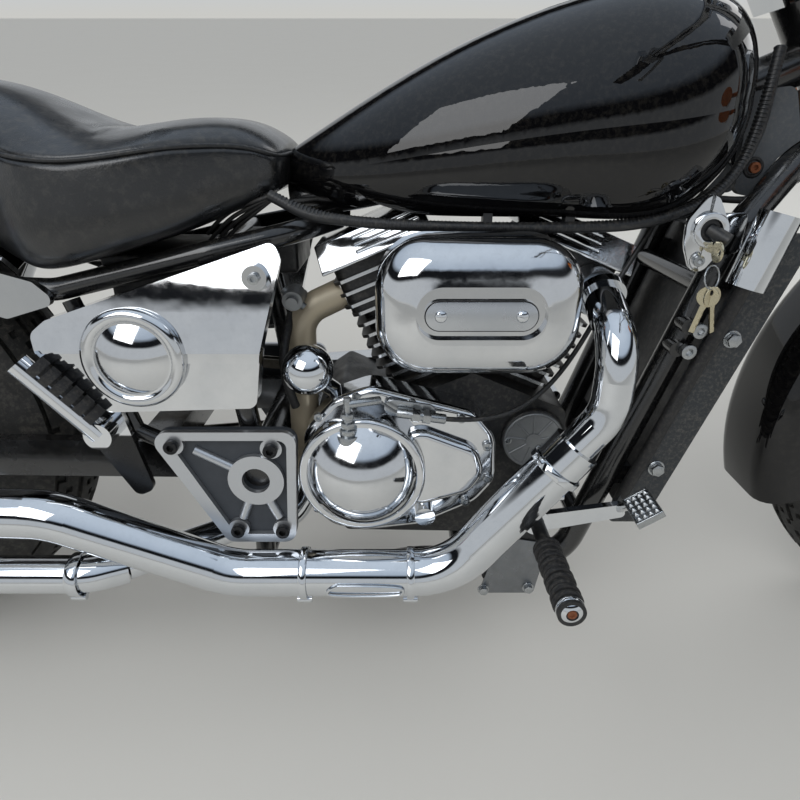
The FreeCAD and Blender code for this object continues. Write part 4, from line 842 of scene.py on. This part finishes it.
clutch = {
    "shaft": (714, -170),
    # low, high, radius and sides of each ring on the shaft
    "rings": [(362, 384, 13, 40), (384, 392, 10, 40), (392, 400, 9, 6), (400, 404, 6, 32),
              (404, 411, 8, 6), (411, 431, 4.4, 24)],
    "bracket": (786, -146, 404), "halfLength": 20,
    "core": [(750, -158, 422), (760, -157, 412), (772, -155, 404.5)],
    "cable": [(826, -155, 396.5), (870, -153, 392), (925, -138, 404), (975, -116, 446),
              (1030, -84, 540), (1100, -60, 660), (1150, -48, 720)]}
finishPiece(bars([((*clutch["shaft"], low), (*clutch["shaft"], high), radius, ringSides)
                  for low, high, radius, ringSides in clutch["rings"]], 0.9),
            "clutchShaft", "brightZinc")
finishPiece(bars([((*clutch["shaft"], 422), (752, -158, 422), 5, 24)], 2), "clutchLever",
            "brightZinc")
holder = drum(11, 4, 40)
for vertex in holder.data.vertices:
    vertex.co.x += mm(clutch["halfLength"]) if vertex.co.x > 0 else -mm(clutch["halfLength"])
holder.data.transform(placed(clutch["bracket"], 9, "Y") @ Matrix.Rotation(
    radians(90), 4, "X"))
bevelPiece(holder, 1.2, 3)
barrel = bars([((770, -155, 405), (828, -155, 396), 6, 24)], 1.5)
nuts = [roundBar((788, -155, 402.2), (797, -155, 400.8), 9, 6),
        roundBar((801, -155, 400.2), (810, -155, 398.8), 9, 6)]
finishPiece(joined([holder, barrel] + nuts), "cableBracket", "brightZinc")
finishPiece(hose(clutch["core"], 1.4, 3), "cableCore", "plainSteel")
finishPiece(hose(clutch["cable"], 3.0, 4), "clutchCable", "blackVinyl", smooth=60)
print("clutch linkage fitted")


# Keys in the lock: a flat bow, a ring and two spare keys that hang from it

keys = {"place": Vector((1094, -166, 585)), "bow": 11, "thick": 2.2, "blade": (6.4, 2, 32),
        "hole": 3.4, "teethFrom": 24, "tooth": 4, "toothDepth": 1.6, "trim": 0.6}


def cutKey(turn, swing):
    # bow and toothed blade, about two millimetres thick, hanging down from the ring
    bow = drum(keys["bow"], keys["thick"], 28)
    bow.location = mm(0, 0, -keys["bow"])
    bow.rotation_euler = onItsSide
    settle(bow)
    blade = block((0, 0, -36), keys["blade"])
    openMesh(blade)
    bpy.ops.mesh.subdivide(number_cuts=7)
    closeMesh()
    for vertex in blade.data.vertices:
        if vertex.co.x > mm(2.5) and vertex.co.z < -mm(keys["teethFrom"]):
            tooth = int(-vertex.co.z * 1000 / keys["tooth"]) % 2
            vertex.co.x -= mm(keys["trim"] + keys["toothDepth"] * tooth)
    cutWith(bow, drum(keys["hole"], 8, 20, (0, 0, -6), onItsSide))
    bevelPiece(bow, 0.4, 1)
    key = joined([bow, blade])
    key.data.transform(placed((0, 0, 0), turn, "Z") @ placed((0, 0, 0), swing, "Y"))
    return key


finishPiece(hoop(12, 0.9, 48, 10, keys["place"] + Vector((4, -4, -18)),
                 (radians(80), 0, radians(30))), "keyRing", "brightZinc", smooth=60)
inLock = cutKey(90, 0)
inLock.data.transform(placed((1101, -176, 592), 90, "X"))
spare = [cutKey(20, -14), cutKey(-30, 12)]
for piece in spare:
    piece.data.transform(placed(keys["place"] + Vector((6, -5, -28)), 0, "Z"))
finishPiece(joined([inLock] + spare), "keys", "nickelSilver")
print("keys hung")


# Exhaust: band clamps, and a wire clip on the shield

def bandClamp(name, centre, along, radius, width=9):
    band = drum(radius, width, 64, ends="NOTHING")
    applyModifier(band, "SOLIDIFY", thickness=mm(1.6), offset=1)
    band.data.transform(facing(mm(*centre), along))
    bevelPiece(band, 0.5, 1, 50)
    low = Vector(centre) + Vector((0, -radius * 0.5, -radius * 0.92))
    lug = roundBar(low + Vector((-9, 0, 0)), low + Vector((9, 0, 0)), 4.2, 16)
    finishPiece(joined([band, lug]), name, "chromedSteel", smooth=45)


bandClamp("clampMiddle", (655, -190, 199), (1, 0, 0), 30.8)
bandClamp("clampFront", (787, -190, 199), (1, 0, 0), 30.8)
bandClamp("clampRear", (381, -204, 208), (1, 0, 0.02), 25.5, 14)
bandClamp("clampElbow", (953, -190, 351), (-0.61, 0, -0.79), 31.5)
clip = [(698, -221.5, 204), (772, -221.5, 204), (780, -220.5, 195), (772, -218.5, 186),
        (690, -218.5, 186), (682, -220.5, 195), (698, -221.5, 204)]
finishPiece(hose(clip, 1.8, 4), "shieldClip", "chromedSteel", smooth=60)
print("exhaust dressed")


# Flat plates and mudguards

def slab(outline, near, far, corner):
    # an upright plate from its side outline, its corners rounded and its edges eased
    bpy.ops.mesh.primitive_circle_add(vertices=len(outline), fill_type="NGON")
    plate = bpy.context.object
    for vertex, (x, z) in zip(plate.data.vertices, outline):
        vertex.co = mm(x, near, z)
    openMesh(plate)
    bpy.ops.mesh.bevel(offset=mm(corner), segments=5, affect="VERTICES")
    bpy.ops.mesh.select_all(action="SELECT")
    extrude(0, far - near, 0)
    closeMesh(outward=True)
    bevelPiece(plate, 0.6, 2, 40)
    return plate


def mudguard(name, node, axle, guard, body):
    # one skin follows the other a sheet's thickness inside; the section is spun over the tyre
    def skin(inset):
        radius, half = guard["radius"] - inset, guard["half"] - inset
        crown = guard["crown"] - inset
        turns = [radians(turn) for turn in range(90, -1, -15)]
        shoulder = [(radius - crown * (1 - cos(turn)), half - crown * (1 - sin(turn)))
                    for turn in turns]
        line = [(guard["radius"] - guard["depth"], half)] + shoulder
        return line + [(r, -y) for r, y in line[::-1]]

    first, last = (radians(turn) for turn in guard["span"])
    rows = [[around(axle, r, first, y) for r, y in line]
            for line in (skin(0), skin(guard["sheet"]))]
    piece = spun(rows, 56, (0, 1, 0), (axle[0], 0, axle[1]), last - first)
    finishPiece(piece, name, "blackLacquer", body, smooth=40)
    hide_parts(node)


mudguard("rearMudguard", "rear_fender", (8, 337),
         {"radius": 385, "half": 96, "span": (42, 172), "depth": 110, "crown": 44, "sheet": 3},
         "chassis")
mudguard("frontMudguard", "front_fender", (1645, 320),
         {"radius": 368, "half": 71, "span": (30, 197), "depth": 66, "crown": 36, "sheet": 3},
         "steering_set")
print("mudguards spun")


# Head covers: sloping flanks with slots that stop short of the cast outer end

headCover = {"crank": (865, 0, 290), "lean": 22.5, "low": 308, "half": 70, "flank": 82,
             "flat": 66, "endTaper": 0.97, "lip": 3, "height": 34, "edge": 5, "slot": 3.0,
             "slots": (0.24, 0.5, 0.76), "slotEnd": 20, "slotStart": 58}


def capsule(start, end, radius):
    # a bar with round ends: a ball whose halves are drawn apart
    start, end = mm(*start), mm(*end)
    bpy.ops.mesh.primitive_uv_sphere_add(segments=20, ring_count=11, radius=mm(radius),
                                         rotation=(0, 0, 0.13))
    bar = settle(bpy.context.object)
    for vertex in bar.data.vertices:
        vertex.co.z += copysign((end - start).length / 2, vertex.co.z)
    bar.data.transform(facing((start + end) / 2, end - start))
    return bar


def slottedCover(side):
    # drawn with x across the bank, z up the bank, then leaned into its place
    low, rise = headCover["lip"], headCover["height"] - headCover["lip"]
    cover = block((0, 0, low / 2), (2 * headCover["half"], 2 * headCover["flank"], low))
    pickFaces(cover, lambda centre, normal: normal.z > 0.9)
    extrude(0, 0, rise)
    bpy.ops.transform.resize(value=(headCover["endTaper"],
                                    headCover["flat"] / headCover["flank"], 1))
    closeMesh()
    bevelPiece(cover, headCover["edge"], 4, 12)
    tools = []
    for share in headCover["slots"]:
        across = headCover["flank"] + share * (headCover["flat"] - headCover["flank"]) + 1
        height = low + share * rise + 1
        tools += [capsule((-side * headCover["slotStart"], hand * across, height),
                          (side * headCover["slotEnd"], hand * across, height),
                          headCover["slot"]) for hand in (-1, 1)]
    cutWith(cover, joined(tools))
    cover.data.transform(placed(headCover["crank"], side * headCover["lean"], "Y")
                         @ Matrix.Translation(mm(0, 0, headCover["low"])))
    return cover


headCovers = joined([slottedCover(-1), slottedCover(1)])
finishPiece(headCovers, "slottedHeadCovers", "coverChrome", smooth=30)
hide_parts("head_covers")
print("head covers slotted")


# Ignition lock: a pear-shaped plate with a raised socket, held off the frame by its barrel

lockPlate = slab([(1091, 646), (1073, 620), (1075, 594), (1085, 568), (1099, 568),
                  (1115, 592), (1118, 616), (1101, 646)], -140, -146, 6)
lockBarrel = roundBar((1104, -112, 606), (1096, -141, 611), 15)
lockSocket = drum(18, 10, 48, (1096, -150, 612), onItsSide)
cutWith(lockSocket, roundBar((1096, -147, 612), (1096, -160, 612), 11))
bevelPiece(lockSocket, 1.2, 3, 40)
lockStay = slab([(1096, 572), (1086, 622), (1150, 626), (1150, 584)], -111, -119, 6)
lock = joined([lockPlate, lockBarrel, lockSocket, lockStay])
finishPiece(lock, "lockPlate", "chromedCasting")
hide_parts("ignition_switch")
finishPiece(bars([((1096, -146, 612), (1096, -151, 612), 10.6, 32),
                  ((1096, -148, 612), (1112, -162, 602), 7.5, 24)]), "lockCore", "blackPlastic")
print("lock fitted")


# Thin trim laid on the castings

def roundEndedPlate(half, radius, near, far, centre=(856, 536), sides=48):
    # a disc whose two halves are drawn apart
    bpy.ops.mesh.primitive_cylinder_add(vertices=sides, radius=mm(radius),
                                        depth=mm(near - far), rotation=(0, 0, pi / sides))
    plate = settle(bpy.context.object)
    for vertex in plate.data.vertices:
        vertex.co.x += copysign(mm(half - radius), vertex.co.x)
    plate.data.transform(placed((centre[0], (near + far) / 2, centre[1]), 90, "X"))
    bevelPiece(plate, 0.3, 2, 60)
    return plate


finishPiece(roundEndedPlate(56.5, 14.8, -208, -209.2), "airPlate", "brushedAluminium")
finishPiece(roundEndedPlate(57.6, 15.9, -207.9, -208.5), "airPlateSeat", "blackOxide")

# ribbed cast disc on the crankcase's side, forward of the clutch
ribbedDisc = {"centre": (946, 342), "radius": 39, "rim": 37, "ribs": 9, "rib": (9, 36), "hub": 10}


middle = ribbedDisc["centre"]
castDisc = [settle(drum(ribbedDisc["radius"], 2, 64, around(middle, 0, 0, -105), onItsSide)),
            hoop(ribbedDisc["rim"], 2, 64, 10, around(middle, 0, 0, -106), onItsSide)]
for number in range(ribbedDisc["ribs"]):
    turn = radians(40 * number + 12)
    castDisc.append(roundBar(*(around(middle, radius, turn, -106)
                               for radius in ribbedDisc["rib"]), 1.5, 12))
castDisc.append(roundBar(around(middle, 0, 0, -104), around(middle, 0, 0, -108),
                         ribbedDisc["hub"], 32))
finishPiece(joined(castDisc), "ribbedDisc", "greyCasting")

# galvanised plate under the peg's bracket
finishPiece(slab([(884, 116), (960, 116), (974, 200), (908, 212)], -131.2, -134, 5),
            "underPlate", "plainSteel")

for side, label in bothSides:
    # dark cup round each neck screw
    finishPiece(hoop(9.5, 2.2, 40, 12, (1178, side * 56, 668), onItsSide), "neckCup" + label,
                "blackRubber")

for side, label in bothSides:
    # rubber pads along the passenger's pegs
    root, tip = mm(430, side * 176, 388), mm(362, side * 186, 478)
    along, lift = (tip - root).normalized(), mm(9, -side, 7)

    def onPeg(reach):
        return (root + along * mm(reach) + lift) * 1000

    pads = [(onPeg(16 + 15 * number), onPeg(27 + 15 * number), 12.5, 24) for number in range(6)]
    finishPiece(bars(pads + [(onPeg(16), onPeg(100), 9, 20)]), "passengerPegPads" + label,
                "blackRubber")

# hoses and leads on the right side
finishPiece(hose([(1150, -146, 566), (1148, -144, 545), (1132, -133, 480), (1109, -130, 412),
                  (1083, -130, 332), (1064, -126, 276), (1066, -112, 250)], 8, 8),
            "breatherHose", "blackRubber", smooth=60)
leads = [hose([(640, -70, 500), (632, -100, 470), (634, -116, 430), (644, -110, 392)], 5.5, 6)]
for drop in range(4):
    # wires that leave the sleeve's end and go in under the saddle
    leads.append(hose([(634, -96, 641 - drop), (606, -98 + 4 * drop, 634 - 5 * drop),
                       (572, -92 + 8 * drop, 618 - 8 * drop),
                       (548, -66, 596 - 10 * drop)], 2.4, 4))
finishPiece(joined(leads), "rearLeads", "blackRubber", smooth=60)
finishPiece(bars([((648, -78, 528), (648, -104, 524), 12, 32),
                  ((648, -104, 524), (648, -110, 523), 7, 24),
                  ((636, -92, 536), (660, -92, 514), 4.5, 16),
                  ((655, -92, 520), (655, -62, 524), 5, 16)]), "airValve", "greyCasting")

# battery case hung between the frame's two cross tubes, with its lid and the coils' box
cases = []
for place, size, edge in (((493, 0, 482), (138, 148, 172), 9), ((493, 0, 566), (146, 156, 16), 4),
                          ((603, 0, 567), (94, 112, 42), 6)):
    cases.append(block(place, size))
    bevelPiece(cases[-1], edge, 3, 60)
finishPiece(joined(cases), "batteryCase", "blackPlastic")
print("trim laid on")


# Lamp glass, dial, grips, disc and brake hose that turn with the bars, and control cables that are
# attached to no body

bpy.ops.mesh.primitive_uv_sphere_add(segments=64, ring_count=32, radius=1,
                                     location=mm(1476, 0, 824))
lampGlass = bpy.context.object
lampGlass.scale = mm(13, 89, 89)
finishPiece(lampGlass, "headlampGlass", "pressedGlass", "steering_set", 60)

dial = {"foot": (1240.5, 0, 1007.9), "up": (-0.496, 0, 0.868), "ahead": (0.868, 0, 0.496),
        "radius": 41, "rim": 43.5, "ticks": 19, "sweep": 260, "needle": -118}


def onDial(radius, turn, rise):
    # a place on the dial's face, the turn counted clockwise from straight ahead
    foot, up, ahead = (Vector(dial[key]) for key in ("foot", "up", "ahead"))
    turn = radians(turn)
    return foot + up * rise + ahead * radius * cos(turn) - Vector(
        (0, radius * sin(turn), 0))


finishPiece(roundBar(onDial(0, 0, -2), onDial(0, 0, 1), dial["radius"], 64), "dialFace",
            "blackPlastic", "steering_set")
dialRing = hoop(dial["rim"], 2.8, 72, 14)
dialRing.data.transform(facing(mm(*onDial(0, 0, 0.5)), dial["up"]))
finishPiece(dialRing, "dialRing", "chromedSteel", "steering_set", 60)
marks = []
for number in range(dial["ticks"]):
    turn = dial["sweep"] * (number / (dial["ticks"] - 1) - 0.5)
    marks.append((onDial(29 if number % 3 == 0 else 33, turn, 1), onDial(38, turn, 1), 0.9, 8))
marks += [(onDial(-6, dial["needle"], 3), onDial(28, dial["needle"], 3), 1.1, 8),
          (onDial(0, 0, 1), onDial(0, 0, 4), 4, 20)]
finishPiece(bars(marks), "dialMarks", "whiteEnamel", "steering_set")

grip = {"start": (1018.8, 420, 966.5), "along": (0.466, -0.8737, 0.1398), "ribs": 9,
        "first": 4, "step": 12, "radius": 17, "rib": 1.9}
gripRibs = []
for side, label in bothSides:
    (x, y, z), (ahead, across, up) = grip["start"], grip["along"]
    along = Vector((ahead, side * across, up))
    for number in range(grip["ribs"]):
        place = Vector((x, side * y, z)) + along * (grip["first"] + grip["step"] * number)
        gripRibs.append(hoop(grip["radius"], grip["rib"], 36, 8))
        gripRibs[-1].data.transform(facing(mm(*place), along))
finishPiece(joined(gripRibs), "gripRibs", "blackRubber", "steering_set", 60)

brakeDisc = {"middle": (1645, 320), "radius": 150, "band": 34, "near": -53, "far": -48,
             "holes": 36, "hole": 3.8, "rows": (124, 133, 142), "arms": 5,
             "arm": (76, 92, 18), "hub": 46, "hubEnd": -42}


def drilledDisc():
    (x, z), near, far = brakeDisc["middle"], brakeDisc["near"], brakeDisc["far"]
    ring = roundBar((x, near, z), (x, far, z), brakeDisc["radius"], 128)
    cutWith(ring, roundBar((x, near - 5, z), (x, far + 5, z),
                           brakeDisc["radius"] - brakeDisc["band"], 96))
    drills = []
    for number in range(brakeDisc["holes"]):
        for row, radius in enumerate(brakeDisc["rows"]):
            turn = 2 * pi * (number + row / 3) / brakeDisc["holes"]
            ends = [around((x, z), radius, turn, y) for y in (near - 5, far + 5)]
            drills.append((*ends, brakeDisc["hole"], 12))
    cutWith(ring, bars(drills))
    parts = [ring, roundBar((x, near, z), (x, brakeDisc["hubEnd"], z), brakeDisc["hub"], 64)]
    middle, length, width = brakeDisc["arm"]
    for number in range(brakeDisc["arms"]):
        arm = block((middle, 0, 0), (length, far - near, width))
        arm.data.transform(placed((x, (near + far) / 2, z), 72 * number - 90, "Y"))
        bevelPiece(arm, 1, 2, 60)
        parts.append(arm)
    return joined(parts)


frontDisc = drilledDisc()
finishPiece(frontDisc, "drilledDisc", "groundSteel", "front_wheel_set")
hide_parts("front_disc")

brakeHose = hose([(1090, -296, 974), (1160, -238, 956), (1262, -150, 930), (1318, -84, 850),
                  (1352, -72, 740), (1404, -70, 640), (1470, -80, 520), (1522, -74, 430),
                  (1534, -64, 405)], 4.5, 8)
finishPiece(brakeHose, "brakeHose", "blackRubber", "steering_set", 60)

# control cables run from the levers round the head and in under the tank
cableEnds = {"start": (1250, 0, 690), "end": (1330, 0, 860), "radius": 3.6}


def controlCable(name, side, shift):
    cable = hose([(1088, side * 296, 976 + shift), (1180, side * 236, 984 + shift),
                  (1292, side * (132 + shift), 950), (1344, side * (66 + shift), 870),
                  (1338, side * (56 + shift), 780), (1280, side * (52 + shift), 700),
                  (1222, side * (54 + shift), 648), (1168, side * (64 + shift), 628),
                  (1110, side * (56 + shift), 640)], cableEnds["radius"], 6)
    dressed(cable, name, "blackRubber", 60)
    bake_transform(cable)


controlCable("clutchControlCable", 1, 0)
controlCable("throttleCable", -1, 0)
controlCable("throttleReturnCable", -1, 9)
print("front end dressed")


# Floor, light and air

studio = {
    "floor": "#D4D4D0", "floorSize": 60, "below": "#C9C9C5", "above": "#D6E2F0",
    # colours of the air between nadir and zenith, by half of the height's sine above a half
    "air": ((0.49, "#C9C9C5"), (0.505, "#C4C8CC"), (0.65, "#C4C8CC"), (0.68, "#17191C"),
            (0.75, "#17191C"), (0.80, "#B9C6D6")),
    "ambient": 0.62, "aim": (0, 0, 0.4),
    # name, power, place and size of each lamp
    "lamps": (("keyLight", 55, (-1.6, -2.4, 3.2), 2.4), ("fillLight", 26, (2.6, 1.8, 2.4), 2.0))}
bpy.ops.mesh.primitive_plane_add(size=studio["floorSize"], location=(0, 0, 0))
floor = bpy.context.object
floor.name = "floor"
# plain painted boards, matt enough to hold a soft shadow
floor.data.materials.append(mixFinish("paintedFloor", look(studio["floor"], studio["floor"],
                                                           (0.7, 0.8), 400)))

world = bpy.data.worlds.new("softRoom")
bpy.context.scene.world = world
world.use_nodes = True
air = world.node_tree
background = air.nodes["Background"]
rays = addNode(air, "LightPath").outputs
seen = reckoned(air, "MAXIMUM", rays["Is Camera Ray"], rays["Is Glossy Ray"])
seen = reckoned(air, "MAXIMUM", seen, rays["Is Transmission Ray"])
heading = addNode(air, "SeparateXYZ", {0: addNode(air, "TexCoord").outputs["Generated"]})
heights = addNode(air, "ValToRGB", {"Fac": ranged(air, heading.outputs["Z"], -1.0, 1.0)})
ramp = heights.color_ramp.elements
ramp[0].color, ramp[1].color = colour(studio["below"]), colour(studio["above"])
for position, tone in studio["air"]:
    ramp.new(position).color = colour(tone)
shown = mixed(air, seen, (1, 1, 1, 1), heights.outputs["Color"])
air.links.new(shown, background.inputs["Color"])
air.links.new(ranged(air, seen, 0, 1, studio["ambient"], 1.0), background.inputs["Strength"])

for name, power, place, size in studio["lamps"]:
    bpy.ops.object.light_add(type="AREA", location=place)
    lamp = bpy.context.object
    lamp.name = name
    lamp.data.energy = power
    lamp.data.size = size
    aim = Vector(studio["aim"]) - Vector(place)
    lamp.rotation_euler = aim.to_track_quat("-Z", "Y").to_euler()

bpy.context.scene.view_settings.view_transform = "Standard"
print("studio lit")
